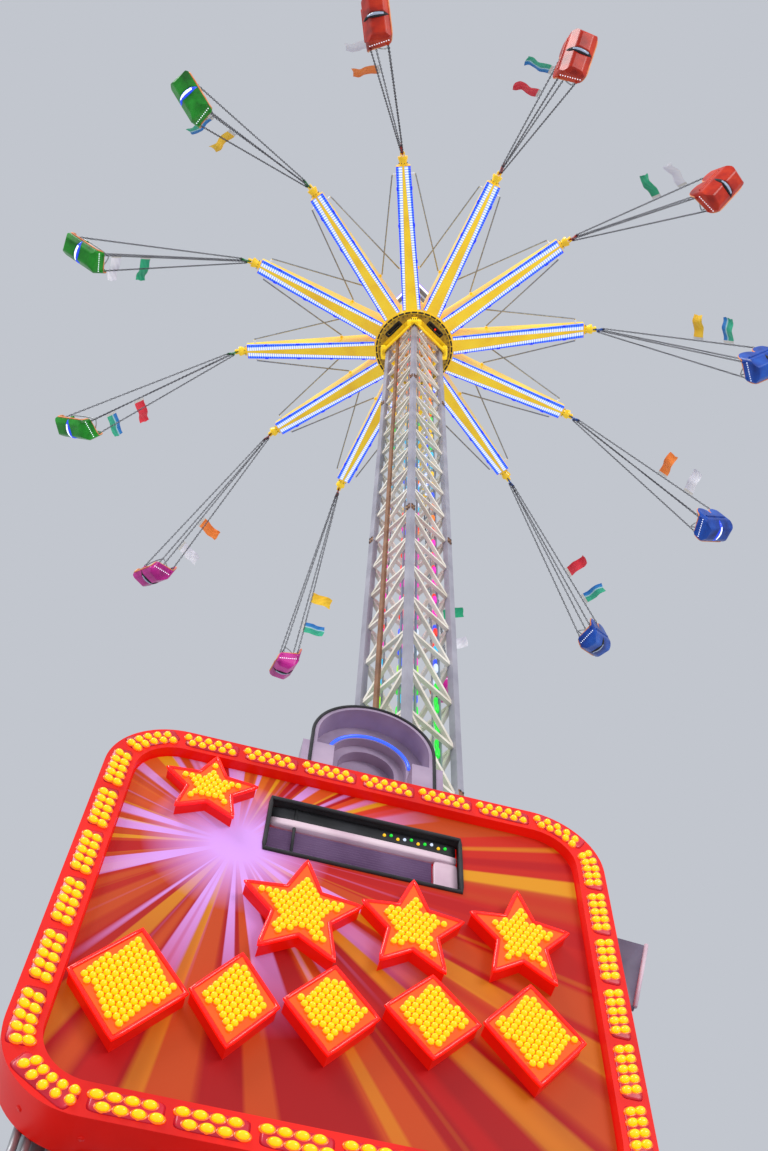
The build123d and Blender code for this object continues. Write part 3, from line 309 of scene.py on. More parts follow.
# %% Paints for the tower and the base
# Alkyd enamel sprayed over primer: satin, IOR about 1.5, with a faint orange peel.
cream_enamel = surface("cream_enamel_on_steel", {0.3: "#cdc3b2", 0.5: "#e6ded0", 0.7: "#efe9dd"},
                       60, 3.0, 0.05, Roughness=0.42, IOR=1.5)
grey_enamel = surface("light_grey_enamel", {0.3: "#827f8c", 0.5: "#96939f", 0.72: "#a8a5b0"},
                      90, 3.0, 0.05, Roughness=0.4, IOR=1.5)
slate_enamel = surface("slate_grey_enamel", {0.3: "#4b505a", 0.55: "#5c616b", 0.75: "#6a6f78"},
                       70, 3.0, 0.06, Roughness=0.48, IOR=1.5)
# Rust-brown oxide paint on the riser and the splice plates: matt, because it is only a primer.
oxide_paint = surface("brown_oxide_primer", {0.3: "#6b4630", 0.5: "#83593c", 0.7: "#96694a"},
                      40, 2.0, 0.08, Roughness=0.62, IOR=1.48)

# %% Enamel for the star and the hub
# Two-pack polyurethane enamel: strong yellow and glossy. Its glow is painted light, for the light that the
# arms' lit strips throw on it.
yellow_enamel = surface("yellow_two_pack_enamel_painted_glow", {0.3: "#e6b206", 0.5: "#f6ca10", 0.72: "#fdd822"},
                        80, 3.0, 0.04, wear=0.08, Roughness=0.28, IOR=1.52, Coat_Weight=0.35,
                        Coat_Roughness=0.08, glow=("#ffd21a", 0.22))
# The same enamel under the hub, in a darker ochre and without the glow: painted shade, for the shadow under
# the hub.
yellow_plate_painted_shade = surface("yellow_enamel_painted_shade", {0.3: "#8c7020", 0.5: "#bc9628", 0.72: "#d4ae30"},
                       14, 2.0, 0.06, Roughness=0.45, IOR=1.52)
# Along the sleeve's edges and on the knots, a brighter yellow with a glow: painted light for the lit edges,
# so that these stand out against the plate.
yellow_edge_painted_glow = surface("yellow_enamel_painted_glow", {0.3: "#f2c60c", 0.6: "#ffd820"},
                      20, 2.0, 0.04, Roughness=0.3, IOR=1.52, glow=("#ffd41a", 0.4))
# And where hands and gear touch it, with darker blotches from grease; its faint glow is painted light.
yellow_worked_and_glow = surface("yellow_enamel_worked_and_glow", {0.28: "#c0960c", 0.48: "#ecc010", 0.7: "#fad21c"},
                        18, 2.0, 0.06, Roughness=0.36, IOR=1.52, glow=("#ffcc10", 0.2))

# %% Metals, rubber and plates
# Hot-dip galvanised steel: zinc crystals a few millimetres across give a patchy grey.
galvanised = surface("galvanised_steel", {0.3: "#8f9296", 0.5: "#9fa2a5", 0.7: "#aeb1b4"},
                     9, 1.5, 0.04, Metallic=0.55, Roughness=0.45)
# Oiled machine steel: nearly black, with a soft sheen.
oiled_steel = surface("oiled_machine_steel", {0.3: "#2c2c2f", 0.55: "#424246", 0.75: "#55555a"},
                      14, 1.2, 0.04, Metallic=0.85, Roughness=0.4)
# Handled chain: zinc worn to a dark grey, in a mix of paler and darker links.
chain_steel = surface("worn_chain_steel", {0.25: "#3a3a3f", 0.5: "#5a5a60", 0.75: "#7d7d84"},
                      16, 1.0, 0.03, Metallic=0.8, Roughness=0.45)
# Polyurethane and rubber: a dull black that scatters light, with a soft edge.
black_rubber = surface("black_moulded_rubber", {0.35: "#17171a", 0.6: "#232327", 0.8: "#2e2e33"},
                       12, 0.8, 0.05, Roughness=0.72, IOR=1.5)

# %% [markdown]
# ## Lit plastics
# A lamp here is a moulded lens with light behind it. The lens colour sits in the base and the
# emission alike, so that it still reads as coloured plastic when the ride is off. The strength
# stays near 1, at which a colour comes out as it is written.

# %% Lens materials


def lens(name, code, glow, strength=1.0):
    """Moulded acrylic lens, IOR 1.49, lit evenly from behind. The nylon sleeves use it too, and there the
    glow is painted light.
    """
    return new_material(name, glow=(glow, strength), Base_Color=linear(code), Roughness=0.22, IOR=1.49)[0]


white_lens = lens("opal_acrylic_white", "#7f8aa4", "#f2f6ff", 0.9)
white_tray = lens("blue_white_lamp_tray", "#5c7cc8", "#9cb8ff", 0.6)
blue_lens = lens("blue_acrylic_edge", "#0a1ea0", "#1024ff", 0.95)
azure_lens = lens("azure_acrylic_band", "#3a70c8", "#4f98ff", 0.6)
amber_lens = lens("amber_acrylic_cabochon", "#e89a00", "#ffc000", 0.85)
halo_lens = lens("orange_acrylic_halo", "#e05a08", "#ff6a00", 0.7)
glow_red = lens("red_acrylic_channel_edge", "#e01008", "#ff1408", 0.75)
violet_lens = lens("violet_acrylic_tube", "#7a50d8", "#a070ff", 0.8)
CAPSULE_LENSES = {"green": ("#0c7a1c", "#1ce83a", 0.9), "lime": ("#4c8410", "#a4f028", 0.9),
                  "cyan": ("#10708c", "#20c4f4", 0.9), "blue": ("#10289c", "#2c58ff", 0.9),
                  "white": ("#7c88a0", "#dce8ff", 0.85), "magenta": ("#9c0c74", "#ff28c4", 0.9),
                  "red": ("#9c1c0c", "#ff3420", 0.9), "yellow": ("#9c7c0c", "#ffc820", 0.9),
                  "orange": ("#9c4c08", "#ff7c14", 0.9)}
tower_lenses = [lens(f"{word}_acrylic_capsule", *values) for word, values in CAPSULE_LENSES.items()]
lens_words = list(CAPSULE_LENSES)
print("lamp colours:", ", ".join(lens_words))

# %% [markdown]
# ## The arms' lit ledges
# Each arm is a tapered box whose yellow belly hangs a little below two ledges. The ledges carry the
# show: short opal sticks laid side by side on a lit tray, a band of blue sticks outside them and a
# thin blue tube along the outer edge. The sticks could be painted on as stripes, but real sticks
# catch the light from the side too, so each is a small rounded block. Its place comes from the same
# straight taper as the arm.

# %% Where an arm's ledge lies
ARMS = 12
FIRST_ARM_AZIMUTH = -94.15
ROOT_RADIUS, TIP_RADIUS = 114.0, 536.0
LEDGE_Z = (3896.0, 3975.0)
BELLY_HALF, STRIP_HALF, BOX_HALF = (18.4, 2.9), (25.2, 14.4), (26.6, 20.6)
arm_turns = turns(ARMS, FIRST_ARM_AZIMUTH)
ledge_rise = math.atan2(LEDGE_Z[1] - LEDGE_Z[0], TIP_RADIUS - ROOT_RADIUS)
LEDGE_OUT = np.array((math.cos(ledge_rise), 0, math.sin(ledge_rise)))
LEDGE_DOWN = np.array((math.sin(ledge_rise), 0, -math.cos(ledge_rise)))


def arm_piece(name, shape, material, smooth=True):
    """A piece drawn on an arm that points along +X, once on each arm."""
    piece(name, "star", copies(shape, arm_turns), material, smooth=smooth)


def tapered(ends, radius):
    """Straight-line blend of an arm's root and tip values at a radius."""
    return ends[0] + (ends[1] - ends[0]) * (radius - ROOT_RADIUS) / (TIP_RADIUS - ROOT_RADIUS)


def under_ledge(radius, side, inner, outer, share, proud):
    """Point under a ledge: share runs from the inner taper to the outer one, and proud hangs it lower."""
    radius, share, proud = np.broadcast_arrays(np.asarray(radius, float), share, proud)
    across = tapered(inner, radius) * (1 - share) + tapered(outer, radius) * share
    flat = np.stack([radius, side * across, tapered(LEDGE_Z, radius)], -1)
    return flat + proud[..., None] * LEDGE_DOWN


# %% Sticks, trays and blue edges
STICK_PITCH, BAND_HEIGHT, EDGE_TUBE = 7.2, 8.0, 1.3
# Width and height of a stick.
WHITE_STICK, BLUE_STICK = (0.66 * STICK_PITCH, 2.6), (0.6 * STICK_PITCH, 1.8)
SPOT_RADII = np.array([160.0, 263, 368, 473])
stick_radii = np.arange(ROOT_RADIUS + 12, TIP_RADIUS - 4, STICK_PITCH)
tray_radii = np.linspace(ROOT_RADIUS + 8, TIP_RADIUS - 1.5, 24)


def stick_row(side, inner, outer, width, rise):
    """Rounded blocks across a strip, each as long as the strip is wide at its radius."""
    middle = under_ledge(stick_radii, side, inner, outer, 0.5, rise / 2)
    reach = tapered(outer, stick_radii) - tapered(inner, stick_radii)
    places = placement(middle, np.broadcast_to((0, side, 0), middle.shape), LEDGE_OUT)
    places[:, :3, 0] *= reach[:, None]
    return copies(rounded_block(0.96, width, rise, power=0.45, sides=8, rings=3), places)


def tray(side, inner, outer, proud):
    """A flat sheet just under the ledge, facing down."""
    radii = tray_radii if side > 0 else tray_radii[::-1]
    return patch(under_ledge(radii[:, None], side, inner, outer, np.array([[0.0, 1.0]]), proud))


def side_band(side):
    """An upright lit band on the box's side, just above the ledge's outer edge."""
    low = under_ledge(tray_radii, side, BOX_HALF, BOX_HALF, 0.0, 0.0) + (0, side * 0.9, 1.4)
    rail = np.stack([low, low + (0, 0, BAND_HEIGHT)], 1)
    return patch(rail if side > 0 else rail[::-1])


def edge_line(side):
    """The thin tube along the outer edge, with four longer lamps on it."""
    spots_at = under_ledge(SPOT_RADII, side, BOX_HALF, BOX_HALF, 0.0, 0.6)
    spots = set_at(rounded_block(13, 5.5, 5, power=0.6, sides=10), spots_at, LEDGE_OUT)
    return together(tube(under_ledge(tray_radii, side, BOX_HALF, BOX_HALF, 0.0, 0.2), EDGE_TUBE), spots)


def both_sides(make, *values):
    """A shape made once for each side of an arm."""
    return together(make(-1, *values), make(1, *values))


arm_piece("arm_light_sticks", both_sides(stick_row, BELLY_HALF, STRIP_HALF, *WHITE_STICK), white_lens)
arm_piece("arm_light_trays", both_sides(tray, BELLY_HALF, STRIP_HALF, 0.2), white_tray, smooth=False)
arm_piece("arm_blue_sticks", both_sides(stick_row, STRIP_HALF, BOX_HALF, *BLUE_STICK), azure_lens)
arm_piece("arm_blue_trays", both_sides(tray, STRIP_HALF, BOX_HALF, 0.25), blue_lens, smooth=False)
arm_piece("arm_blue_edges", both_sides(edge_line), blue_lens)
arm_piece("arm_side_bands", both_sides(side_band), azure_lens, smooth=False)

# %% White sleeves on the pegs
# The stays are shackled to white nylon sleeves on the cross pegs at the arms' ends. The sleeves' faint glow
# is painted light.
PEG_RADIUS, PEG_Z = 510.0, 3991.0
nylon = lens("white_nylon_sleeve_painted_glow", "#d4d8e2", "#dfe6f4", 0.2)
sleeve = turned_shape([2.8, 3.3, 3.3, 3.0, 3.3, 3.3, 2.8], [21.6, 22.2, 25.6, 26.2, 26.8, 31.6, 32.4], 14)
peg = (PEG_RADIUS, 0, PEG_Z)
arm_piece("peg_sleeves", set_at(sleeve, [peg] * 2, (1, 0, 0), [(0, 0, -1), (0, 0, 1)]), nylon)

# %% Bolted flanges at the tips
# A flanged cap closes each arm. Eight hexagon screws hold it, in dark zinc.
CAP_Z, FLANGE_FRONT, BOLT_CIRCLE, COLLAR_CIRCLE = 3987.0, 542.0, 13.0, 15.1
screws_at = arc((FLANGE_FRONT, 0, CAP_Z), BOLT_CIRCLE, full_turn(8) + np.pi / 8, *FACING_OUT)
collar_path = arc((FLANGE_FRONT - 3, 0, CAP_Z), COLLAR_CIRCLE, full_turn(28), *FACING_OUT)
arm_piece("tip_screws", set_at(hexagon_head(2.6, 1.6), screws_at, *FACING_OUT), oiled_steel)
arm_piece("tip_collars", tube(collar_path, 0.9, 6, closed=True), yellow_worked_and_glow)

# %% Hatches and lifting eyes on top
# Nobody sees them from the ground: a screwed hatch near each arm's root, and an eye further out.
ARM_TOP_Z = (3993.0, 4002.0)
TOP_ALONG = np.array((TIP_RADIUS - ROOT_RADIUS, 0, ARM_TOP_Z[1] - ARM_TOP_Z[0]))
HATCH_AT, EYE_AT, EYE_RING = 205.0, 420.0, 4.2
hatch_screws_at = [(HATCH_AT + x, y, tapered(ARM_TOP_Z, HATCH_AT + x) + 0.9)
                   for x in (-28, 0, 28) for y in (-9.5, 9.5)]
eye_path = arc((EYE_AT, 0, tapered(ARM_TOP_Z, EYE_AT) + 3.4), EYE_RING, full_turn(20))
arm_piece("arm_hatches", set_at(rounded_block(64, 26, 2.0, power=0.25, rings=3),
                                (HATCH_AT, 0, tapered(ARM_TOP_Z, HATCH_AT)), TOP_ALONG), yellow_worked_and_glow)
arm_piece("arm_hatch_screws", set_at(hexagon_head(2.6, 1.2), hatch_screws_at, TOP_ALONG), oiled_steel)
arm_piece("arm_lifting_eyes", tube(eye_path, 1.2, closed=True), galvanised)

# %% [markdown]
# ## The hub from below
# Under the hub a visitor sees the turning ring clamped by dark plates, the round yellow plate with
# its bolts and slots, and knots of gussets where the climbing sleeve meets the columns.

# %% Clamps and bolts
CLAMPS, PLATE_BOLTS, CLAMP_RADIUS, TOP_BOLT_RADIUS, PLATE_BOLT_RADIUS = 36, 48, 116.6, 111.5, 107.6
RING_SOLE, RING_TOP = 3888.0, 3993.0
# Dark brown enamel, matt with road dust, sets the clamps off from the yellow ring.
clamp_paint = surface("dark_brown_enamel", {0.3: "#2a1e10", 0.7: "#43301a"},
                      12, 1.0, 0.04, Roughness=0.5, IOR=1.5)
clamp = together(set_at(rounded_block(5.4, 17.6, 3.6, sides=14, rings=5), (CLAMP_RADIUS, 0, RING_SOLE - 1.2)),
                 set_at(hexagon_head(3.0, 1.6), [(CLAMP_RADIUS, y, RING_SOLE - 3) for y in (-3.4, 3.4)],
                        *TURNED_OVER))
piece("ring_clamps", "star", copies(clamp, turns(CLAMPS)), clamp_paint)
piece("ring_top_bolts", "star",
      copies(set_at(hexagon_head(3.6, 2.0), (TOP_BOLT_RADIUS, 0, RING_TOP)), turns(CLAMPS)), oiled_steel)
plate_bolt = set_at(hexagon_head(3.2, 1.8), (PLATE_BOLT_RADIUS, 0, RING_SOLE), *TURNED_OVER)
piece("plate_bolts", "carriage", copies(plate_bolt, turns(PLATE_BOLTS, 180 / PLATE_BOLTS)), oiled_steel)

# %% Knots and edge bars
# Each knot is four rounded blocks, given by size and place on the sleeve's +X side.
KNOT_BLOCKS = (((10, 30, 14), (98.5, 0, 3860)), ((14, 12, 9), (94.5, 16, 3856)),
               ((14, 12, 9), (94.5, -16, 3856)), ((7, 18, 20), (100.5, 0, 3874)))
KNOT_FACE, KNOT_SCREW_ROWS = 102.8, (3856.5, 3863.5)
knot = together(*(set_at(rounded_block(*size, sides=14, rings=5), at) for size, at in KNOT_BLOCKS))
knot_screws_at = [(KNOT_FACE, y, z) for y in (-9, -3, 3, 9) for z in KNOT_SCREW_ROWS]
edge_bar = set_at(rounded_block(114, 4.4, 3.4, sides=24, rings=5), (0, 71.6, 3849.2))
square_turns, column_turns = turns(4, -90), turns(4, 45)
# The knots and edge bars glow in the brighter yellow: painted light.
piece("carriage_knots", "carriage", copies(knot, square_turns), yellow_edge_painted_glow)
piece("carriage_edge_bars", "carriage", copies(edge_bar, column_turns), yellow_edge_painted_glow)
piece("carriage_knot_screws", "carriage",
      copies(set_at(hexagon_head(3.0, 1.8), knot_screws_at, *FACING_OUT), square_turns), oiled_steel)

# %% Painted-shade sheets and gaskets of the slots
# A black sheet lies over each slot, inside the hub: painted shade that stands in for the dark inside of the
# hub, so that no sky shows through.
SLOT_RADIUS, SLOT_INNER, SLOT_OUTER, GASKET_PROUD = 90.0, (9.4, 47), (18, 62), 0.8


def slot_outline(size, z):
    """Rounded rectangle about a slot: cosine and sine raised to the power 0.3, with their signs kept."""
    loop = np.linspace(0, 2 * np.pi, 40, endpoint=False)
    x, y = (np.sign(v) * np.abs(v) ** 0.3 for v in (np.cos(loop), np.sin(loop)))
    return np.stack([SLOT_RADIUS + size[0] / 2 * x, size[1] / 2 * y, np.full(len(loop), z)], -1)


gasket_low = RING_SOLE - GASKET_PROUD
gasket = np.stack([slot_outline(size, z) for size, z in (
    (SLOT_INNER, RING_SOLE), (SLOT_INNER, gasket_low), (SLOT_OUTER, gasket_low), (SLOT_OUTER, RING_SOLE),
    (SLOT_INNER, RING_SOLE))])
gasket = patch(np.concatenate([gasket, gasket[:, :1]], 1))
slot_turns = turns(4, -135)
shade_sheet = set_at(rounded_block(14, 54, 3), (SLOT_RADIUS + 0.5, 0, RING_SOLE + 10.2))
piece("slot_shade_sheets", "carriage", copies(shade_sheet, slot_turns), black_rubber)
piece("slot_gaskets", "carriage", copies(gasket, slot_turns), black_rubber)
red_dome = lens("red_acrylic_dome", "#c81408", "#ff2a14", 1.0)
slot_lamp = set_at(turned_shape([2.4, 3.0, 2.6, 1.4], [-1.5, 0, 2.0, 3.2], 14),
                   (SLOT_RADIUS, 1.5, RING_SOLE + 3), *TURNED_OVER)
piece("slot_lamp", "carriage", copies(slot_lamp, turns(1, -45)), red_dome)

# %% Lit tubes round the head
# The head's square ring has a white tube along its lower outer edge, and a violet one outside it.
HEAD_CORNER, HEAD_EDGE_Z, CORNER_GAP = 101.1, 4350.4, 3.0
bright_tube = lens("opal_acrylic_tube", "#c8d4f0", "#ffffff", 0.95)
for name, reach, rise, radius, material in (("head_white_tubes", -1.0, -2.6, 3.2, bright_tube),
                                            ("head_violet_tubes", 2.6, 0.6, 2.6, violet_lens)):
    far = HEAD_CORNER + reach - CORNER_GAP
    run = np.linspace((far, CORNER_GAP, 0), (CORNER_GAP, far, 0), 14) + (0, 0, HEAD_EDGE_Z + rise)
    piece(name, "root", copies(tube(run, radius, 10), square_turns), material)

# %% [markdown]
# ## Tower lamps
# Capsule lamps hang on each of the eight conduits, two a bay. The colours change with height, as a
# running light show does, from green near the ground to orange at the top. A seeded choice mixes
# neighbours of one band, so that the pattern is lively and still the same each run.

# %% Capsules, two a bay
BRACING_BOTTOM, BAY, BAYS = 136.5, 124.3, 33
LAMP_ALONG, LAMP_DEPTH, LAMPS_A_BAY, SHOW_SEED = 24.2, 44.2, 2, 5
# Up to each height, the three colours that a lamp is drawn from.
LIGHT_SHOW = ((1850, ("green", "green", "green")), (1950, ("lime", "green", "lime")),
              (2080, ("cyan", "white", "blue")), (2200, ("blue", "red", "magenta")),
              (2560, ("magenta", "red", "magenta")), (2720, ("white", "orange", "blue")),
              (3050, ("cyan", "yellow", "cyan")), (3330, ("yellow", "green", "yellow")),
              (3480, ("orange", "yellow", "orange")), (5000, ("orange", "red", "orange")))
capsule = turned_shape([1.8, 3.4, 3.9, 4.1, 3.9, 3.4, 1.8], [-11.5, -10.6, -8, 0, 8, 10.6, 11.5], 10)
conduits = [(sx * a, sy * b) for sx in (-1, 1) for sy in (-1, 1)
            for a, b in ((LAMP_ALONG, LAMP_DEPTH), (LAMP_DEPTH, LAMP_ALONG))]
levels = BRACING_BOTTOM + (np.arange(BAYS * LAMPS_A_BAY) + 0.5) * BAY / LAMPS_A_BAY
lamps_in_tower = np.array([(x, y, z) for z in levels for x, y in conduits])
chooser = np.random.default_rng(SHOW_SEED)
picked = [lens_words.index(next(mix for top, mix in LIGHT_SHOW if z < top)[chooser.integers(3)])
          for z in lamps_in_tower[:, 2]]
piece("tower_lamps", "root", copies(set_at(capsule, lamps_in_tower), turns(1, 45)), tower_lenses,
      choice=np.repeat(picked, len(capsule[1])))
print("tower lamps:", len(lamps_in_tower))

# %% Splice plates on the columns
# Where two lengths of column meet, a primed plate with four screws covers the joint on each outer face.
FOOT_BAYS, SECTION_BAYS, SPLICES, COLUMN_FACE, COLUMN_AT = 5, 7, 4, 61.9, 55.0
splice_z = BRACING_BOTTOM + (FOOT_BAYS + SECTION_BAYS * np.arange(SPLICES)) * BAY
plates_at = np.array([(COLUMN_FACE, side * COLUMN_AT, z) for z in splice_z for side in (-1, 1)])
corner_screws = np.array([(0.8, y, rise) for y in (-3, 3) for rise in (-8, 8)])
plate_screws_at = (plates_at[:, None] + corner_screws).reshape(-1, 3)
splice_plate = rounded_block(11.5, 24, 1.6, power=0.25, sides=16, rings=3)
piece("splice_plates", "root",
      copies(set_at(splice_plate, plates_at, *FACING_OUT), column_turns), oxide_paint)
piece("splice_screws", "root",
      copies(set_at(hexagon_head(3.2, 1.4), plate_screws_at, *FACING_OUT), column_turns), oiled_steel)

# %% [markdown]
# ## Finishes on the CAD nodes
# The rigid shapes stay as the CAD model gives them. Only their material slots change.

# %% Glow on the conduits
# The conduits are bare aluminium extrusions with a diffuser: the colour of the lamps runs along
# them, so their finish reads height from Object coordinates and turns it into bands.
CONDUIT_TOP = 4.4
conduit_glow, tree, shader = new_material("aluminium_conduit_lit", Base_Color=linear("#7c8288"), Metallic=0.3,
                                          Roughness=0.5, Emission_Strength=0.16)
height = put(tree, "SeparateXYZ", {0: put(tree, "TexCoord").outputs["Object"]}).outputs[2]
share = put(tree, "MapRange", {"Value": height, "From Max": CONDUIT_TOP}).outputs[0]
tones(tree, share, {0.0: "#1f6f2c", 0.41: "#23a53a", 0.45: "#2878b0", 0.48: "#2a4fc0", 0.52: "#a02aa0",
                    0.58: "#903048", 0.62: "#4058a8", 0.7: "#4c8a70", 0.78: "#8a6a30", 1.0: "#7a4426"},
      shader, "Emission Color")

# %% Paints of the tubs and the sign
GEL_COATS = {"red": {0.3: "#821004", 0.5: "#b82408", 0.75: "#d63c10"},
             "blue": {0.3: "#0a2a78", 0.5: "#0f46a8", 0.75: "#1c62c8"},
             "magenta": {0.3: "#8c0a66", 0.5: "#c4168c", 0.75: "#e02aa4"},
             "green": {0.3: "#0c5a10", 0.5: "#168a1c", 0.75: "#2cab30"}}
CHAIR_COLOURS = ["red"] * 3 + ["blue"] * 3 + ["magenta"] * 3 + ["green"] * 3
# Glass-fibre gel coat: a thick pigmented resin skin, dulled by weather, with a slight ripple.
gel_coats = {name: surface("gel_coat_" + name, stops, 45, 9.0, 0.12, wear=0.06, Roughness=0.36, IOR=1.5,
                           Coat_Weight=0.15, Coat_Roughness=0.25, Specular_IOR_Level=0.3)
             for name, stops in GEL_COATS.items()}
# Enamel on the sign's sheet steel; the red one glows a little, because its own bulbs light it.
red_panel_paint = surface("red_sign_enamel", {0.3: "#a00804", 0.5: "#c41008", 0.75: "#d81a0c"},
                          60, 3.0, 0.04, Roughness=0.4, IOR=1.5, Specular_IOR_Level=0.3,
                          glow=("#ff1400", 0.28))
arch_paint = surface("lilac_grey_enamel", {0.3: "#8c7890", 0.5: "#a490a8", 0.75: "#b8a4ba"},
                     30, 2.5, 0.05, Roughness=0.38, IOR=1.5)
# Five-bar tread plate in galvanised steel: raised lozenges, drawn 18 mm apart so that they show.
TREAD_PITCH = 18.0
tread_plate, tree, shader = new_material("tread_plate_steel", Metallic=0.35, Roughness=0.48)
place = put(tree, "TexCoord").outputs["Object"]
bars = put(tree, "TexBrick", {"Vector": place, "Scale": 1 / (TREAD_PITCH * MM), "Mortar Size": 0.12,
                              "Color1": (1, 1, 1, 1), "Color2": (0.9, 0.9, 0.9, 1),
                              "Mortar": (0, 0, 0, 1)}).outputs[0]
tones(tree, cloud(tree, 80), {0.3: "#74777a", 0.55: "#84878a", 0.8: "#94979a"}, shader)
relief(tree, shader, bars, 0.5, 0.6)

# %% Assign finishes to the CAD nodes
FINISHES = (
    (conduit_glow, ["tower_conduits"]),
    (cream_enamel, [f"tower_bracing_{side}" for side in ("ne", "nw", "sw", "se")]),
    (grey_enamel, ["tower_columns", "tower_head"]),
    (slate_enamel, ["base_plinth", "outriggers", "deck_joists", "sign_frame", "gate_beam"]),
    (oxide_paint, ["riser_pipe"]),
    (yellow_enamel, ["arms", "slew_ring", "arm_end_caps"]),
    (yellow_worked_and_glow, ["carriage_frame", "deck_fence"]),
    (yellow_plate_painted_shade, ["slew_plate"]),
    (galvanised, ["stay_rods", "gate_posts", "hoist_ropes"]),
    (oiled_steel, ["hoist_winch", "head_sheaves"]),
    (black_rubber, ["base_pads", "carriage_rollers"]),
    (red_panel_paint, ["sign_board", "sign_star", "sign_shapes"]),
    (arch_paint, ["sign_arch"]),
    (tread_plate, ["deck_panels", "deck_steps"]),
    *((gel_coats[colour], [f"tub_{number:02d}"]) for number, colour in enumerate(CHAIR_COLOURS, start=1)),
)
for material, nodes in FINISHES:
    for name in nodes:
        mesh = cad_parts[name].data
        mesh.materials.clear()
        mesh.materials.append(material)
print("finishes on CAD nodes:", sum(len(nodes) for _, nodes in FINISHES))

# %% [markdown]
# ## Deck, plinth and drum
# The parts that stand on the ground get their screws, bolts and rope.

# %% Deck screws and nosing
# Each of the twelve deck panels is screwed down along its seams and has a painted nosing at its edge.
DECK_Z, PANELS, DECK_EDGE, SEAM_HALF = 40.0, 12, 676.1, 8.0
screw_points = [(radius, side * SEAM_HALF, DECK_Z) for radius in np.linspace(196, 646, 6) for side in (-1, 1)]
edge_length = 2 * DECK_EDGE * math.tan(math.pi / PANELS)
nosing = rounded_block(5.0, edge_length - 8, 2.6, power=0.25, rings=3)
nosing = set_at(nosing, (DECK_EDGE - 2.8, 0, DECK_Z + 0.6))
piece("deck_screws", "root",
      copies(set_at(hexagon_head(5.0, 1.6), screw_points), turns(PANELS, 180 / PANELS)), galvanised)
piece("deck_nosings", "root", copies(nosing, turns(PANELS)), yellow_worked_and_glow)

# %% Plinth bolts and rope on the drum
# Anchor bolts hold the plinth down, and the spare rope lies on the drum in one layer of turns.
PLINTH_Z, ANCHORS, ANCHOR_RADIUS = 60.0, 16, 103.0
DRUM_Z, DRUM_LAY, ROPE_LAY, ROPE_TURNS, ROPE_SPREAD = 112.0, 39.1, 1.15, 13, 16.4
anchor = together(set_at(rounded_block(11, 11, 1.8, sides=14, rings=3), (ANCHOR_RADIUS, 0, PLINTH_Z + 0.7)),
                  set_at(hexagon_head(6.4, 4.2), (ANCHOR_RADIUS, 0, PLINTH_Z + 1.4)))
piece("plinth_bolts", "root", copies(anchor, turns(ANCHORS, 180 / ANCHORS)), galvanised)
wound = np.linspace(0, 2 * np.pi * ROPE_TURNS, ROPE_TURNS * 24)
helix = arc((0, 0, DRUM_Z), DRUM_LAY, wound)
helix[:, 1] = np.linspace(-ROPE_SPREAD, ROPE_SPREAD, len(wound))
piece("drum_rope", "root", copies(tube(helix, ROPE_LAY, 6), turns(1, 45)), galvanised)

# %% [markdown]
# ## The chairs' own axes
# Every chair is the same set of pieces, drawn hanging straight down from its pivot. One placement
# a chair puts them in the air: out to the arm's tip, turned to the arm, and swung out. Working out
# the twelve placements once keeps the chains, flags and trims in step with the CAD tubs.

# %% Twelve placements
PIVOT_RADIUS, PIVOT_Z = 570.0, 3984.0
SWING, TRAIL, HANG = math.radians(35.5), 4.6, 665.0
tilt = np.eye(4)
tilt[0, 0] = tilt[2, 2] = math.cos(SWING)
tilt[2, 0], tilt[0, 2] = math.sin(SWING), -math.sin(SWING)
to_pivots = turns(ARMS, FIRST_ARM_AZIMUTH - TRAIL)
to_pivots[:, :3, 3] = (arm_turns @ (PIVOT_RADIUS, 0, PIVOT_Z, 1))[:, :3]
chairs = to_pivots @ tilt
TO_TUB = np.array((0, 0, -HANG))
chair_numbers = range(1, ARMS + 1)
print("first chair's tub is at", np.round((chairs[0] @ (*TO_TUB, 1))[:3], 1))


def chair_piece(word, number, shape, material, slot=None, uv=None):
    """A piece drawn below the pivot, on one chair; its name ends in the chair's number."""
    return piece(f"{word}_{number:02d}", f"chair_{number:02d}", copies(shape, chairs[number - 1]),
                 material, slot, uv=uv)


# %% [markdown]
# ## Chains of real links
# Each chair hangs on four chains. A chain could be a twisted texture on a rod, but from below the
# gaps between links are what makes it look like chain. One link is a thin tube along a stadium
# outline. Its copies follow the straight line from the crossbar to the tub, every second one
# turned by a quarter turn.

# %% One link and its copies
LINK_PITCH, LINK_LENGTH, LINK_WIDTH, LINK_WIRE = 8.0, 10.6, 5.4, 0.95
BAR_LUG = (10.25, 2.75, -27.3)
TUB_LUG_X, TUB_LUG_TOP, TUB_LUGS = 57.5, 3.3, ((-22, 9), (22, -1))
top_ends = np.array([(sx * BAR_LUG[0], sy * BAR_LUG[1], BAR_LUG[2]) for sx in (-1, 1) for sy in (-1, 1)])
low_ends = np.array([(sx * TUB_LUG_X, y, z + TUB_LUG_TOP - HANG) for sx in (-1, 1) for y, z in TUB_LUGS])


def stadium(length, width, corners=4):
    """Two straight runs joined by half circles, as a closed loop of points in the XY plane."""
    radius = width / 2
    half = arc((length / 2 - radius, 0, 0), radius, np.linspace(-np.pi / 2, np.pi / 2, corners), up=(0, 1, 0))
    return np.vstack([half, half * (-1, -1, 1)])


link = tube(stadium(LINK_LENGTH - 2 * LINK_WIRE, LINK_WIDTH - 2 * LINK_WIRE), LINK_WIRE, 4, closed=True)


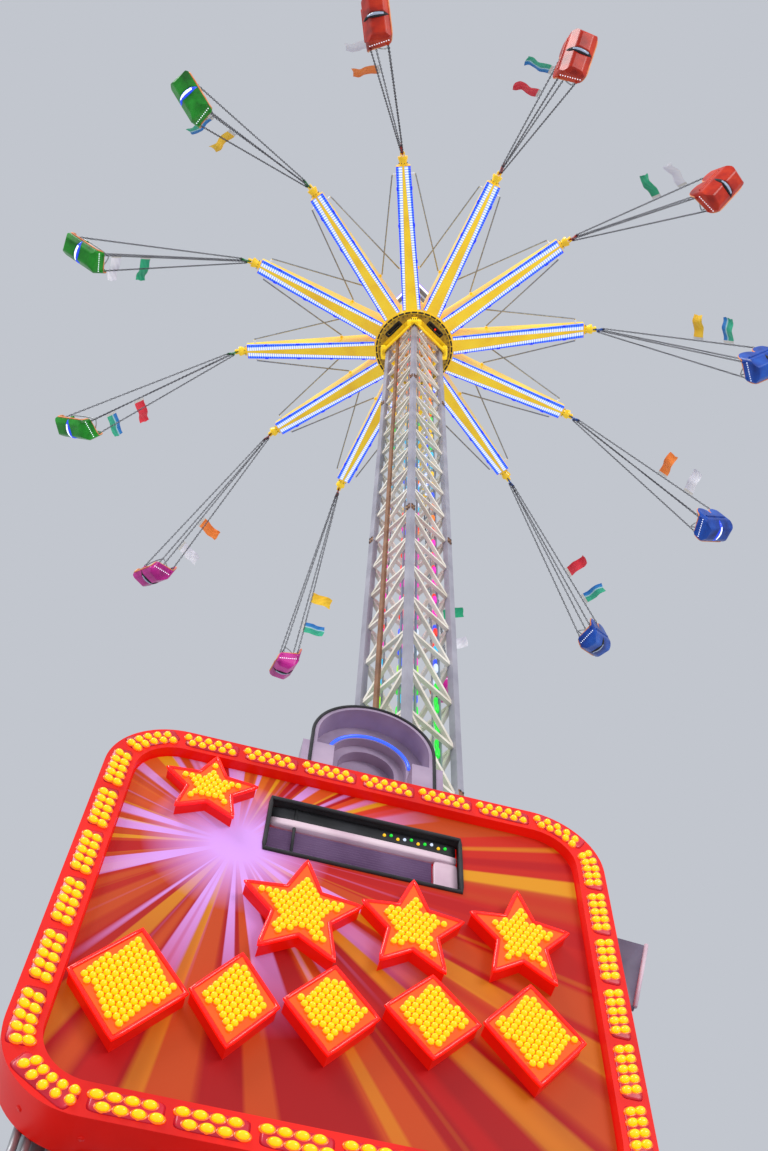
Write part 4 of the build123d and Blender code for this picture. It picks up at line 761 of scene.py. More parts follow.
def chain(start, end):
    """Links at an even pitch from start to end; odd ones are turned by a quarter about the line."""
    run = end - start
    count = int(np.linalg.norm(run) // LINK_PITCH)
    at = start + run * ((np.arange(count) + 0.5) / count)[:, None]
    flat = np.cross(run, (0, 1, 0))
    edge = np.cross(run, flat)
    odd = (np.arange(count) % 2 == 1)[:, None]
    return set_at(link, at, run, np.where(odd, flat / np.linalg.norm(flat), edge / np.linalg.norm(edge)))


four_chains = together(*(chain(a, b) for a, b in zip(top_ends, low_ends)))
print("links a chair:", len(four_chains[0]) // len(link[0]))

# %% Swivel, crossbar and shackles
# Enamel in each chair's own colour, scratched to grey where the shackles rub.
SWIVEL_COLOURS = ["#a8200f"] * 3 + ["#1c4fa0"] * 3 + ["#7c1420"] * 3 + ["#1c7a34"] * 3
swivel_paints = {code: surface("swivel_enamel_" + code[1:], {0.3: code, 0.6: code, 0.85: "#8a8a8e"},
                               6, 1.0, 0.05, Roughness=0.4, IOR=1.5)
                 for code in dict.fromkeys(SWIVEL_COLOURS)}
EYE_LOOP, SIDE_RING_LOOP, BAR_Z, SIDE_RING_AT = 4.3, 4.2, -24.6, (15.5, 0, -29.5)
SHACKLE_PATH = ((0, 0, 2.2), (1.4, 0, 1.4), (1.4, 0, -1.6), (0, 0, -2.6), (-1.4, 0, -1.6), (-1.4, 0, 1.4))
swivel = together(
    tube(arc((0, 0, 0), EYE_LOOP, full_turn(20)), 1.7, closed=True),
    turned_shape([2.6, 3.2, 3.2, 2.4, 2.4, 4.2, 4.2, 3.0],
                 [-4.6, -5.4, -9, -9.6, -17, -17.6, -21.4, -22.2], 12),
    set_at(rounded_block(24, 9, 5.4, sides=16, rings=6), (0, 0, BAR_Z)),
    tube(arc(SIDE_RING_AT, SIDE_RING_LOOP, full_turn(20)), 0.8, 6, closed=True))
shackles = set_at(tube(SHACKLE_PATH, 0.75, 6, closed=True), np.vstack([top_ends, low_ends]))
for number in chair_numbers:
    links_piece = chair_piece("chains", number, together(four_chains, shackles), chain_steel, "chain")
    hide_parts(f"hanger_{number:02d}")
    chair_piece("swivel", number, swivel, swivel_paints[SWIVEL_COLOURS[number - 1]], "chain")

# %% [markdown]
# ## Flags
# Two small cloth flags are laced by their short side to the outer trailing chain of every chair.
# They stream behind it and flutter. A cloth simulation could shape them, but twenty-four small
# flags in a steady wind are well described by travelling waves: the height of the wave grows from
# the laced edge to the free one, and each flag gets its own seeded phase.

# %% Cloth waves
FLAG_FLY, FLAG_HOIST = 78.0, 35.0
FLAG_SHARES = {"inner": 0.6, "outer": 0.77}
HEADING_SHARE, LACING_GAP, WIND_SEED = 0.1, 3.6, 12
# How many waves lie along the fly, then the finer creases: their height and number along and across.
WAVES, CREASE_HEIGHT, CREASES_ALONG, CREASES_ACROSS = 1.35, 1.1, 3.1, 2.3
WAVE_HEIGHTS, SKEW_LIMIT = (3.5, 6.5), 1.2
# What the folds leave of the fly, how its free edge wavers, what the hoist loses there, and the droop.
FLY_KEPT, EDGE_WAVER, EDGE_BEND, HOIST_LOST, DROOP = 0.93, 0.02, 6, 0.05, 3.0
chain_top, chain_low = top_ends[2], low_ends[2]
down_chain = (chain_low - chain_top) / np.linalg.norm(chain_low - chain_top)
trailing = np.array([0, -1.0, 0]) - down_chain * np.dot((0, -1.0, 0), down_chain)
trailing /= np.linalg.norm(trailing)
face_out = np.cross(trailing, down_chain)
flag_random = np.random.default_rng(WIND_SEED)


def flag_cloth(share, columns=27, rows=13):
    """A grid along the fly and the hoist. Sine waves out of its plane, finer creases and a slight droop
    all grow with the fly."""
    hoist, fly = np.meshgrid(np.linspace(-0.5, 0.5, rows), np.linspace(0, 1, columns), indexing="ij")
    phase, skew = flag_random.uniform(0, 6.28), flag_random.uniform(-SKEW_LIMIT, SKEW_LIMIT)
    lift = flag_random.uniform(*WAVE_HEIGHTS)
    wave = lift * fly ** 0.7 * np.sin(2 * np.pi * WAVES * fly - phase + skew * hoist)
    ripples = CREASES_ALONG * fly + CREASES_ACROSS * hoist
    crease = CREASE_HEIGHT * fly * np.sin(2 * np.pi * ripples + 2 * phase)
    reach = FLAG_FLY * (FLY_KEPT * fly - EDGE_WAVER * fly * np.sin(EDGE_BEND * hoist + phase))
    drop = FLAG_HOIST * hoist * (1 - HOIST_LOST * fly) + DROOP * fly * np.sin(phase)
    laced_at = chain_top + (chain_low - chain_top) * share + trailing * LACING_GAP
    grid = laced_at + np.stack([reach, drop, wave + crease], -1) @ np.stack([trailing, down_chain, face_out])
    return patch(grid), np.stack([fly, hoist + 0.5], -1).reshape(-1, 2)


# %% Cloth finishes and twenty-four flags
HEADING_COLOUR = "#d6d2cc"


def cloth(name, stops):
    """Woven polyester: a plain weave drawn 1.2 mm apart, coarser than life so that it shows, with sheen."""
    material, tree, shader = new_material(name, Roughness=0.8, IOR=1.45,
                                          Sheen_Weight=0.3, Sheen_Roughness=0.5)
    uv = put(tree, "TexCoord").outputs["UV"]
    along, across = put(tree, "SeparateXYZ", {0: uv}).outputs[:2]
    ripple = put(tree, "Math", {0: cloud(tree, 30, 2.0), 1: 0.22}, operation="MULTIPLY").outputs[0]
    factor = put(tree, "Math", {0: across, 1: ripple}, operation="ADD").outputs[0]
    heading = put(tree, "Math", {0: along, 1: HEADING_SHARE}, operation="LESS_THAN").outputs[0]
    headed = put(tree, "Mix", {0: heading, 6: tones(tree, factor, stops), 7: linear(HEADING_COLOUR)},
                 data_type="RGBA").outputs[2]
    tree.links.new(headed, shader.inputs["Base Color"])
    threads = put(tree, "Mapping", {"Vector": uv, "Scale": (FLAG_FLY, FLAG_HOIST, 1)}).outputs[0]
    weave = put(tree, "TexWave", {"Vector": threads, "Scale": 0.26, "Distortion": 0.4}).outputs[1]
    relief(tree, shader, weave, 0.15, 0.4)
    return material


inner_cloths = [cloth("orange_polyester_flag", {0.1: "#f07828", 0.9: "#ff8c3a"}),
                cloth("red_polyester_flag", {0.1: "#d81c34", 0.9: "#f03a4a"}),
                cloth("green_polyester_flag", {0.1: "#12946a", 0.9: "#22ae7c"}),
                cloth("yellow_polyester_flag", {0.1: "#f0b818", 0.9: "#ffce30"})]
# A plain seaside pattern of soft bands: blue above, a pale crest, then teal. Every other flag is white.
outer_cloths = [cloth("white_polyester_flag", {0.1: "#dcd8e4", 0.9: "#f4f2f8"}),
                cloth("teal_and_blue_flag", {0.1: "#1f6fc0", 0.42: "#2a86c8", 0.52: "#b8dce4",
                                             0.62: "#2fa88c", 0.95: "#3cb890"})]
for number in chair_numbers:
    for word, fabrics in (("inner", inner_cloths), ("outer", outer_cloths)):
        shape, uv = flag_cloth(FLAG_SHARES[word])
        flag = chair_piece(f"flag_{word}", number, shape, fabrics[(number - 1) % len(fabrics)], uv=uv)

# %% [markdown]
# ## Trim on the tubs
# A moulded tub has a soft rolled rim that hides its raw edge. It is one closed tube that follows the
# edge: over the two crowned headrests, round the shoulders, down the arm rests and across the front
# lip. Below, in the valley between the two buckets, lies a light with the shape of a long drop.

# %% Rim and lap bar
LOBE_RADIUS, PLAN_RADIUS, HEAD_RADIUS, HEAD_ACROSS, HEAD_CENTRE = 18.0, 14.0, 27.0, 28.0, 17.0
LOBE_ACROSS, PLAN_ACROSS, RIM_RADIUS, LAP_BAR_RADIUS = 41, 45, 2.0, 1.7
# The back's edge: its half width, its place in Y, its heights at shoulder and middle, the rim above it.
BACK_HALF, BACK_Y, SHOULDER_Z, VALLEY_Z, RIM_RISE = 55.5, -30.5, 4, 18.0, 0.6
# The arm rests: place in X, then start, bend and end in Y, the height at the start and the slope.
REST_X, REST_START, REST_BEND, REST_END, REST_TOP, REST_FALL = 57.0, -14, 23, 26, 13.3, 0.306
LIP_END = np.array((42, 36.3, -25.2))
LAP_BAR = ((-57, -6, 10), (-57, 4, 17), (-56, 15, 22), (-50, 20, 24), (-20, 21.5, 25))


def arc_over(x, centre, radius):
    """Height of a half circle above its centre line at x, nothing outside it."""
    return np.sqrt(np.maximum(radius ** 2 - (np.abs(x) - centre) ** 2, 0))


def eased(path, pitch=1.7, passes=5):
    """Closed path at an even pitch; each pass moves every point to the mean of itself and its neighbours."""
    ring = np.vstack([path, path[:1]])
    along = np.concatenate([[0], np.cumsum(np.linalg.norm(np.diff(ring, axis=0), axis=1))])
    at = np.linspace(0, along[-1], int(along[-1] / pitch), endpoint=False)
    even = np.stack([np.interp(at, along, ring[:, n]) for n in range(3)], -1)
    for _ in range(passes):
        even = (np.roll(even, 1, 0) + even + np.roll(even, -1, 0)) / 3
    return even


back_x = np.linspace(-BACK_HALF, BACK_HALF, 61)
off_centre = np.abs(back_x)
shoulder = SHOULDER_Z + arc_over(back_x, LOBE_ACROSS, LOBE_RADIUS)
corner_fall = np.where(off_centre > LOBE_ACROSS, shoulder, VALLEY_Z)
crown = np.maximum(HEAD_CENTRE + arc_over(back_x, HEAD_ACROSS, HEAD_RADIUS), corner_fall) + RIM_RISE
bend = BACK_Y + PLAN_RADIUS - arc_over(back_x, PLAN_ACROSS, PLAN_RADIUS)
back_y = np.where(off_centre > PLAN_ACROSS, bend, BACK_Y)
back_edge = np.stack([back_x, back_y, crown], -1)
rest_y = np.linspace(REST_START, REST_END, 8)
bend = REST_X - PLAN_RADIUS + arc_over(rest_y, REST_BEND, PLAN_RADIUS)
rest_x = np.where(rest_y > REST_BEND, bend, REST_X)
right_rest = np.stack([rest_x, rest_y, REST_TOP - REST_FALL * (rest_y - REST_START)], -1)
right_front = [(54.6, 31.5, -5), (54.4, 33, -12), (54, 33.8, -19), (50, 35.2, -24.6)]
right_side = np.vstack([[(REST_X, -22, 15.2)], right_rest, right_front])
lip = np.linspace(LIP_END, LIP_END * (-1, 1, 1), 9)
rim_path = np.vstack([back_edge, right_side, lip, right_side[::-1] * (-1, 1, 1)])
rim = tube(eased(rim_path) + TO_TUB, RIM_RADIUS, closed=True)
left_half = np.array(LAP_BAR)
lap_bar = tube(np.vstack([left_half, left_half[::-1] * (-1, 1, 1)]) + TO_TUB, LAP_BAR_RADIUS)

# %% Drop-shaped light, and dots along the inner end
# The light's centre line as Y and Z, with its half width at each point.
DROP_STOPS = ((-27, -16, 1.5), (-22, -24, 3.2), (-16, -31, 4.6), (-8, -35, 5.8), (0, -36.5, 6.4),
              (10, -36.2, 6.2), (20, -34.5, 5.2), (28, -29.5, 3.4), (33, -24, 1.5))
LINER_RISE, LINER_WIDER = 2.4, 2.0
LIT_CHAIRS = (5, 10, 11, 12)
drop_y, drop_z, drop_half = np.array(DROP_STOPS).T
drop_path = np.stack([0 * drop_y, drop_y, drop_z], -1) + TO_TUB
under_light = tube(drop_path, drop_half, 14)
liner = tube(drop_path + (0, 0, LINER_RISE), drop_half + LINER_WIDER, 14)
dots_at = np.linspace((-59.0, -22, -4), (-59.0, 26, -17), 9) + TO_TUB
end_dots = set_at(turned_shape([1.0, 1.5, 1.3, 0.7], [-0.6, 0, 0.8, 1.3], 10), dots_at, (0, -1, 0), (0, 0, 1))
# Soft vinyl edging in peach, matt and a little mottled by hands.
peach_trim = surface("peach_moulded_trim", {0.3: "#e07840", 0.55: "#f09860", 0.8: "#ffb484"},
                     30, 1.5, 0.05, Roughness=0.5, IOR=1.5)
dim_lens = lens("opal_acrylic_unlit", "#8e9ab0", "#c8d4ea", 0.15)
bright_lens = lens("opal_acrylic_lit", "#e8f0ff", "#f4f8ff", 0.9)
liner_lens = lens("blue_acrylic_liner", "#1c3cc0", "#3050ff", 0.6)
for number in chair_numbers:
    lit = number in LIT_CHAIRS
    chair_piece("tub_rim", number, rim, peach_trim)
    chair_piece("lap_bar", number, lap_bar, galvanised)
    chair_piece("tub_light", number, under_light, bright_lens if lit else dim_lens)
    chair_piece("tub_liner", number, liner, liner_lens if lit else black_rubber)
    chair_piece("tub_dots", number, end_dots, bright_lens)

# %% Seat pads
# Each of a chair's two seats has a ribbed pad of black foam rubber that follows the bucket.
SEAT_LINE = ((-22.5, 30), (-24.5, 12), (-24, -6), (-20, -18), (-10, -29),
             (4, -31.2), (18, -29.5), (28, -24.5))
PAD_ACROSS, PAD_HALF, CHANNEL_PITCH, CHANNEL_RISE, BOLSTER_RISE, END_FADE = 29.0, 19.5, 9.5, 1.6, 19.2, 9
CHANNEL_SHARE, BOLSTER_FROM = 0.45, 0.7


def seat_pad(side, columns=17):
    """Pad over a bucket's back and seat: channels across it are ripples of a raised cosine."""
    line = np.array(SEAT_LINE, float)
    length = np.concatenate([[0], np.cumsum(np.linalg.norm(np.diff(line, axis=0), axis=1))])
    at = np.linspace(0, length[-1], 64)
    y, z = np.interp(at, length, line[:, 0]), np.interp(at, length, line[:, 1])
    around = np.linspace(-1, 1, columns)
    channels = (1 - CHANNEL_SHARE + CHANNEL_SHARE * np.cos(2 * np.pi * at / CHANNEL_PITCH))[:, None]
    end_fade = np.clip(np.minimum(at, length[-1] - at) / END_FADE, 0, 1)[:, None]
    thick = CHANNEL_RISE * (1 - around ** 6) * channels
    thick = thick + BOLSTER_RISE * np.maximum(np.abs(around) - BOLSTER_FROM, 0) ** 1.5 * end_fade
    grid = np.stack([side * (PAD_ACROSS + PAD_HALF * around) + 0 * thick,
                     y[:, None] - thick * np.gradient(z, at)[:, None],
                     z[:, None] + thick * np.gradient(y, at)[:, None]], -1)
    return patch((grid if side > 0 else grid[:, ::-1]) + TO_TUB)


for number in chair_numbers:
    chair_piece("seat_pads", number, together(seat_pad(-1), seat_pad(1)), black_rubber)

# %% [markdown]
# ## The sign's own axes
# The sign stands in front of the tower, turned a little to one side. It is drawn flat, with X along
# the board, Y up and Z towards the visitor, and one placement stands it up.

# %% Sign placement
SIGN_TURN, SIGN_FOOT = math.radians(14.9), (-15.0, -778.0, 416.5)
SIGN_WIDTH, SIGN_HEIGHT, SIGN_CORNER, RIM_WIDTH, RIM_PROUD = 226.0, 206.0, 32.0, 13.0, 5.0
sign = placement(SIGN_FOOT, (math.cos(SIGN_TURN), math.sin(SIGN_TURN), 0), (0, 0, 1))
print("sign faces", np.round(sign[0, :3, 2], 3))


def sign_piece(name, shape, material, slot=None, **more):
    """A piece drawn in the sign's own axes."""
    piece(name, "root", copies(shape, sign), material, slot, **more)


def rounded_outline(width, height, corner, count):
    """Points at an even pitch round a rounded rectangle, and their outward normals. They start at the
    middle of the top and run clockwise. A point is the corner radius away from an inner rectangle:
    the inner point moves on the straight runs, and the normal turns on the corners."""
    w, h, bend = width / 2 - corner, height / 2 - corner, corner * np.pi / 2
    ends = np.cumsum([0, w, bend, 2 * h, bend, 2 * w, bend, 2 * h, bend, w])
    at = (np.arange(count) + 0.5) / count * ends[-1]
    inner_x = np.interp(at, ends, (0, w, w, w, w, -w, -w, -w, -w, 0))
    inner_y = np.interp(at, ends, (h, h, h, -h, -h, -h, -h, h, h, h))
    angle = np.radians(np.interp(at, ends, (90, 90, 0, 0, -90, -90, -180, -180, -270, -270)))
    normals = np.stack([np.cos(angle), np.sin(angle)], -1)
    return np.stack([inner_x, inner_y + SIGN_HEIGHT / 2], -1) + corner * normals, normals


def clockwise(normals):
    """The way along an outline: its outward normals turned by a right angle."""
    return np.stack([normals[:, 1], -normals[:, 0]], -1)


def on_board(points, height):
    """Points drawn on the board, raised by a height."""
    return np.hstack([points, np.full((len(points), 1), height)])


# %% [markdown]
# ## Cabochon lamps round the rim
# The classic fairground rim is a double row of cabochons: faceted amber domes on a red plate, five
# pairs to a plate. Their places follow the rounded outline at an even pitch, with one pair left out
# between plates. Up the sides each dome is long and lies across the rim, so that a pair reads as one
# slanting stroke. Along the bottom the domes are long the other way.

# %% Places along the rim
PAIRS_A_PLATE, PLATES = 5, 28
PLATE_SLOTS = PAIRS_A_PLATE + 1
RIM_LINE = (SIGN_WIDTH - RIM_WIDTH, SIGN_HEIGHT - RIM_WIDTH, SIGN_CORNER - RIM_WIDTH / 2)
line, normals = rounded_outline(*RIM_LINE, PLATES * PLATE_SLOTS)
keep = np.arange(len(line)) % PLATE_SLOTS != PAIRS_A_PLATE
line, normals = line[keep], normals[keep]
half_steps = rounded_outline(*RIM_LINE, PLATES * PLATE_SLOTS * 2)
plate_centres, plate_normals = (found[PAIRS_A_PLATE::2 * PLATE_SLOTS] for found in half_steps)
on_bottom = plate_normals[:, 1] < -0.98
below = np.repeat(on_bottom, PAIRS_A_PLATE)


def board_places(points, ways):
    """Placements on the raised rim, with X along each way and Z towards the visitor."""
    ways = on_board(ways, 0)
    return placement(on_board(points, RIM_PROUD), ways, np.cross((0, 0, 1), ways))


# %% Two rows of domes, each in its cup
ROW_OFFSET, TOP_LEAN, SIDE_LEAN, SIDE_STRETCH = 1.9, -1.15, -0.6, 1.38
BOTTOM_DOMES, LONG_PITCH, BOTTOM_OFFSET, BOTTOM_STRETCH = 4, 5.7, 2.09, 1.5


def rim_row(row):
    """One row of dome places on the top and the sides; row is -1 for the inner row and 1 for the outer.
    The squares of the normal's X and Y say how far a dome is on a side and on the top."""
    upright, top = normals[:, :1] ** 2, np.maximum(normals[:, 1:], 0) ** 2
    lean = (TOP_LEAN * top + SIDE_LEAN * upright * np.sign(normals[:, :1])) * clockwise(normals)
    places = board_places(line + row * (ROW_OFFSET * normals + lean), normals + lean)
    places[:, :3, 0] *= 1 + (SIDE_STRETCH - 1) * upright
    return places[~below]


def bottom_row(row):
    """One row of long domes along the bottom edge, four to a plate, the outer row half a pitch along."""
    along = (np.arange(BOTTOM_DOMES) - (BOTTOM_DOMES - 1) / 2 - row / 4) * LONG_PITCH
    centre, normal = plate_centres[on_bottom], plate_normals[on_bottom]
    at = (centre + row * BOTTOM_OFFSET * normal)[:, None] + along[:, None] * clockwise(normal)[:, None]
    places = placement(on_board(at.reshape(-1, 2), RIM_PROUD))
    places[:, :3, 0] *= BOTTOM_STRETCH
    return places


cabochon_places = np.vstack([rim_row(-1), rim_row(1), bottom_row(-1), bottom_row(1)])
dome = turned_shape([1.3, 1.48, 1.3, 0.75], [-0.2, 0.5, 1.35, 1.9], 12)
cup = turned_shape([1.95, 2.05, 1.9, 1.55], [-0.1, 0.2, 0.5, 0.55], 12)
sign_piece("rim_cabochons", copies(dome, cabochon_places), amber_lens, "sign_lit")
sign_piece("rim_lamp_cups", copies(cup, cabochon_places), halo_lens, "sign_lit")
print("rim cabochons:", len(cabochon_places))

# %% Lamp plates
# Between the domes and the red rim lies a darker crimson plate, one to each group of five pairs. It is
# stove enamel, glossy, and takes a little red from the lamps.
crimson_plate = surface("crimson_lamp_plate", {0.3: "#8c0a20", 0.5: "#b00c28", 0.75: "#c8142e"},
                        20, 2.0, 0.05, Roughness=0.35, IOR=1.5, glow=("#ff1020", 0.15))
plate_places = board_places(plate_centres, clockwise(plate_normals))
rim_plate = rounded_block(24.5, 8.6, 1.0, rings=3)
sign_piece("rim_plates", copies(rim_plate, plate_places), crimson_plate, "sign_lit")

# %% [markdown]
# ## Star and lamp shapes
# The star and the raised shapes are channel boxes: a red return, a lit red edge, an orange face set
# a little inside it and amber bulbs packed on the face. The bulbs sit on a hexagonal grid. One
# function tells how far each grid point lies inside an outline, so that only bulbs that fit are
# kept.

# %% Outlines
# Both outlines are drawn once, for a half width and a half height of one.
STAR_POINTS, STAR_INNER = 5, 0.48
star = arc((0, 0), 1, np.pi / 2 + full_turn(2 * STAR_POINTS), (1, 0), (0, 1))
star[1::2] *= STAR_INNER
diamond = np.array([(1, 0), (0, 1), (-1, 0), (0, -1)])
# Each box: its outline, how far it stands out, its middle, and its half width and half height.
CHANNEL_BOXES = (
    (star, 6.0, (-66.4, 169.8), (20.6, 20.6)), (star, 7.0, (-20.6, 107.0), (24.5, 28.0)),
    (star, 7.0, (24.2, 111.5), (21.5, 26.0)), (star, 7.0, (69.3, 118.5), (21.5, 26.5)),
    (diamond, 7.0, (-77.5, 54.0), (20.5, 25.0)), (diamond, 7.0, (-40.2, 56.5), (15.5, 21.0)),
    (diamond, 7.0, (-5.5, 61.0), (17.0, 20.0)), (diamond, 7.0, (32.0, 68.0), (17.5, 19.0)),
    (diamond, 7.0, (71.0, 70.0), (19.0, 23.0)))


def depth_inside(points, outline):
    """Distance from a point to the outline's nearest edge, negative where a ray crosses it evenly often."""
    run = np.roll(outline, -1, 0) - outline
    start_y, end_y = outline[:, 1], np.roll(outline[:, 1], -1)
    share = np.clip(((points[:, None] - outline) * run).sum(-1) / (run ** 2).sum(-1), 0, 1)
    near = np.linalg.norm(points[:, None] - outline - share[..., None] * run, axis=-1).min(1)
    level = points[:, None, 1]
    slope = run[:, 0] / np.where(np.abs(run[:, 1]) < 1e-9, 1e-9, run[:, 1])
    crosses = (start_y > level) != (end_y > level)
    to_the_left = points[:, None, 0] < outline[:, 0] + (level - start_y) * slope
    return np.where((crosses & to_the_left).sum(1) % 2 == 1, near, -near)


# %% Bulbs, faces and edges
BULB_PITCH, BULB_INSET, BULB_LIFT, CHANNEL_TUBE, FACE_SHARE, FACE_LIFT = 2.9, 2.9, 0.3, 0.95, 0.94, 0.25
GRID_HALF, GRID_TOP = 120, 210
grid_x, grid_y = np.meshgrid(np.arange(-GRID_HALF, GRID_HALF + 1, BULB_PITCH),
                             np.arange(0, GRID_TOP, BULB_PITCH * math.sqrt(3) / 2))
grid_x[1::2] += BULB_PITCH / 2
grid_points = np.stack([grid_x.ravel(), grid_y.ravel()], -1)
bulb = turned_shape([1.15, 1.3, 1.15, 0.6], [-0.2, 0.5, 1.2, 1.7], 8)
bulb_ring = turned_shape([1.5, 1.55, 1.3], [-0.1, 0.25, 0.45], 8)
bulbs_at, faces, edges = [], [], []
for outline, rise, centre, size in CHANNEL_BOXES:
    reach, count = outline * size, len(outline)
    fits = grid_points[depth_inside(grid_points, centre + reach) > BULB_INSET]
    bulbs_at.append(on_board(fits, rise + BULB_LIFT))
    edges.append(tube(along_edges(on_board(centre + reach, rise), 8), CHANNEL_TUBE, closed=True))
    face = on_board(centre + np.vstack([reach * FACE_SHARE, (0, 0)]), rise + FACE_LIFT)
    faces.append((face, [[n, (n + 1) % count, count] for n in range(count)]))
bulbs_at = np.vstack(bulbs_at)
orange_face = lens("orange_acrylic_face", "#c84008", "#ff5a0c", 0.65)
sign_piece("shape_bulbs", set_at(bulb, bulbs_at), amber_lens, "sign_lit")
sign_piece("shape_bulb_rings", set_at(bulb_ring, bulbs_at), halo_lens, "sign_lit")
sign_piece("shape_faces", together(*faces), orange_face, "sign_lit", smooth=False)
sign_piece("shape_edges", together(*edges), glow_red, "sign_lit")
print("bulbs on the shapes:", len(bulbs_at))

# %% [markdown]
# ## The printed sunburst
# The board behind the lamps is a printed sheet: rays that leave one bright point, lilac and white
# near it and red, orange and ochre further out. On a UV map with that point at its origin, the
# angle picks the ray and the distance fades the lilac ones out.

# %% Sunburst sheet
RAY_CENTRE, UV_SCALE, SHEET_RISE, FIELD_GAP, REACH_LIMIT, HALVINGS = (-50.3, 144.4), 200, 0.4, 0.4, 12.0, 40
# The window's edges, as X and Y on the board.
left, right, foot, head = -38.9, 47.1, 144.9, 178.9
window_middle, window_half = ((left + right) / 2, (foot + head) / 2), ((right - left) / 2, (head - foot) / 2)
edge_points, _ = rounded_outline(SIGN_WIDTH - 2 * (RIM_WIDTH + FIELD_GAP),
                                 SIGN_HEIGHT - 2 * (RIM_WIDTH + FIELD_GAP), SIGN_CORNER - RIM_WIDTH, 160)


def outer_reach(ways):
    """How many times each way fits before it meets the field's edge, by halving an interval."""
    low, high = np.zeros(len(ways)), np.full(len(ways), REACH_LIMIT)
    for _ in range(HALVINGS):
        middle = (low + high) / 2
        inside = depth_inside(window_middle + ways * middle[:, None], edge_points) > 0
        low, high = np.where(inside, middle, low), np.where(inside, high, middle)
    return low


def sunburst_sheet(rings=16):
    """Rings that blend from the board's rounded edge to the window's outline, ray by ray. The rays go
    through every point of the edge and every corner of the window, sorted by their angle."""
    corner_ways = 1.6 * np.array(window_half) * [(1, 1), (1, -1), (-1, -1), (-1, 1)]
    ways = np.vstack([edge_points - window_middle, corner_ways])
    ways = ways[np.argsort(-np.arctan2(ways[:, 1], ways[:, 0]))]
    inner = window_middle + ways / np.max(np.abs(ways) / window_half, axis=1)[:, None]
    grid = np.linspace(window_middle + ways * outer_reach(ways)[:, None], inner, rings)
    grid = np.concatenate([grid, grid[:, :1]], 1)
    flat = on_board(grid.reshape(-1, 2), SHEET_RISE)
    return patch(flat.reshape(rings, -1, 3)), (flat[:, :2] - RAY_CENTRE) / UV_SCALE


# %% The printed inks
# Matt vinyl, printed in inks and lit from behind: each ink shows where noise along the bearing is high.
RAY_SHIFT = 17.3
printed, tree, shader = new_material("printed_vinyl_sunburst", Roughness=0.5, IOR=1.5, Emission_Strength=0.32,
                                    Specular_IOR_Level=0.25)
uv = put(tree, "TexCoord").outputs["UV"]
sideways, upwards = put(tree, "SeparateXYZ", {0: uv}).outputs[:2]
bearing = put(tree, "Math", {0: upwards, 1: sideways}, operation="ARCTAN2").outputs[0]
around = put(tree, "MapRange", {"Value": bearing, "From Min": -math.pi, "From Max": math.pi}).outputs[0]
far = put(tree, "VectorMath", {0: uv}, operation="LENGTH").outputs["Value"]
ochre_share = put(tree, "MapRange", {"Value": upwards, "From Min": -0.35, "From Max": 0.0,
                                     "To Min": 0.45}).outputs[0]
lilac_share = put(tree, "MapRange", {"Value": far, "From Min": 0.16, "From Max": 0.5,
                                     "To Min": 1.0, "To Max": 0.0}).outputs[0]
glare = put(tree, "MapRange", {"Value": far, "From Min": 0.05, "From Max": 0.2,
                               "To Min": 1.0, "To Max": 0.0}).outputs[0]


def ray_mask(seed, count, low, high, share=1.0):
    """Where one-dimensional noise over the bearing is high: count sets how many rays go round, and
    share how strong they get."""
    place = put(tree, "Math", {0: around, 1: count, 2: RAY_SHIFT * seed}, operation="MULTIPLY_ADD")
    noise = put(tree, "TexNoise", {"W": place.outputs[0], "Scale": 1.0, "Detail": 1.0}, noise_dimensions="1D")
    return put(tree, "MapRange", {"Value": noise.outputs[0], "From Min": low, "From Max": high,
                                  "To Max": share}).outputs[0]


rays = tones(tree, around, {0.0: "#b03a0c", 0.1: "#a01a06", 0.2: "#900206", 0.36: "#8c0206", 0.45: "#9e0804",
                            0.52: "#a81206", 0.6: "#b8280c", 0.7: "#bc5810", 0.85: "#b84c12", 1.0: "#b03a0c"})
for ink, mask in (("#a83a0c", ray_mask(1, 30, 0.5, 0.56)),
                  ("#c07e0c", ray_mask(2, 44, 0.57, 0.63, ochre_share)),
                  ("#9c0406", ray_mask(3, 26, 0.6, 0.64)),
                  ("#bc86cc", ray_mask(4, 38, 0.52, 0.58, lilac_share)), ("#c08cd4", glare)):
    rays = put(tree, "Mix", {0: mask, 6: rays, 7: linear(ink)}, data_type="RGBA").outputs[2]
tree.links.new(rays, shader.inputs["Base Color"])
tree.links.new(rays, shader.inputs["Emission Color"])
relief(tree, shader, cloud(tree, 40, 2.0), 0.3, 0.15)
sheet_shape, sheet_uv = sunburst_sheet()
sign_piece("sunburst_sheet", sheet_shape, printed, "sign_face", smooth=False, uv=sheet_uv)

# %% [markdown]
# ## The window in the board
# Behind the window's dark frame lie a black strip with pilot lamps, a pale sill and a grille of fine
# slats. The slats are a real surface: a saw-tooth run down the panel, not a striped picture.

# %% Slats
WINDOW_FLOOR, STRIP_HEIGHT, SILL_HEIGHT, PANEL_WIDTH = -4.8, 9.0, 4.5, 12.0
SLAT_PITCH, SLAT_LEAN, SLAT_LIFT = 1.5, 1.1, 0.4
sill_top = head - STRIP_HEIGHT
slat_top = sill_top - SILL_HEIGHT
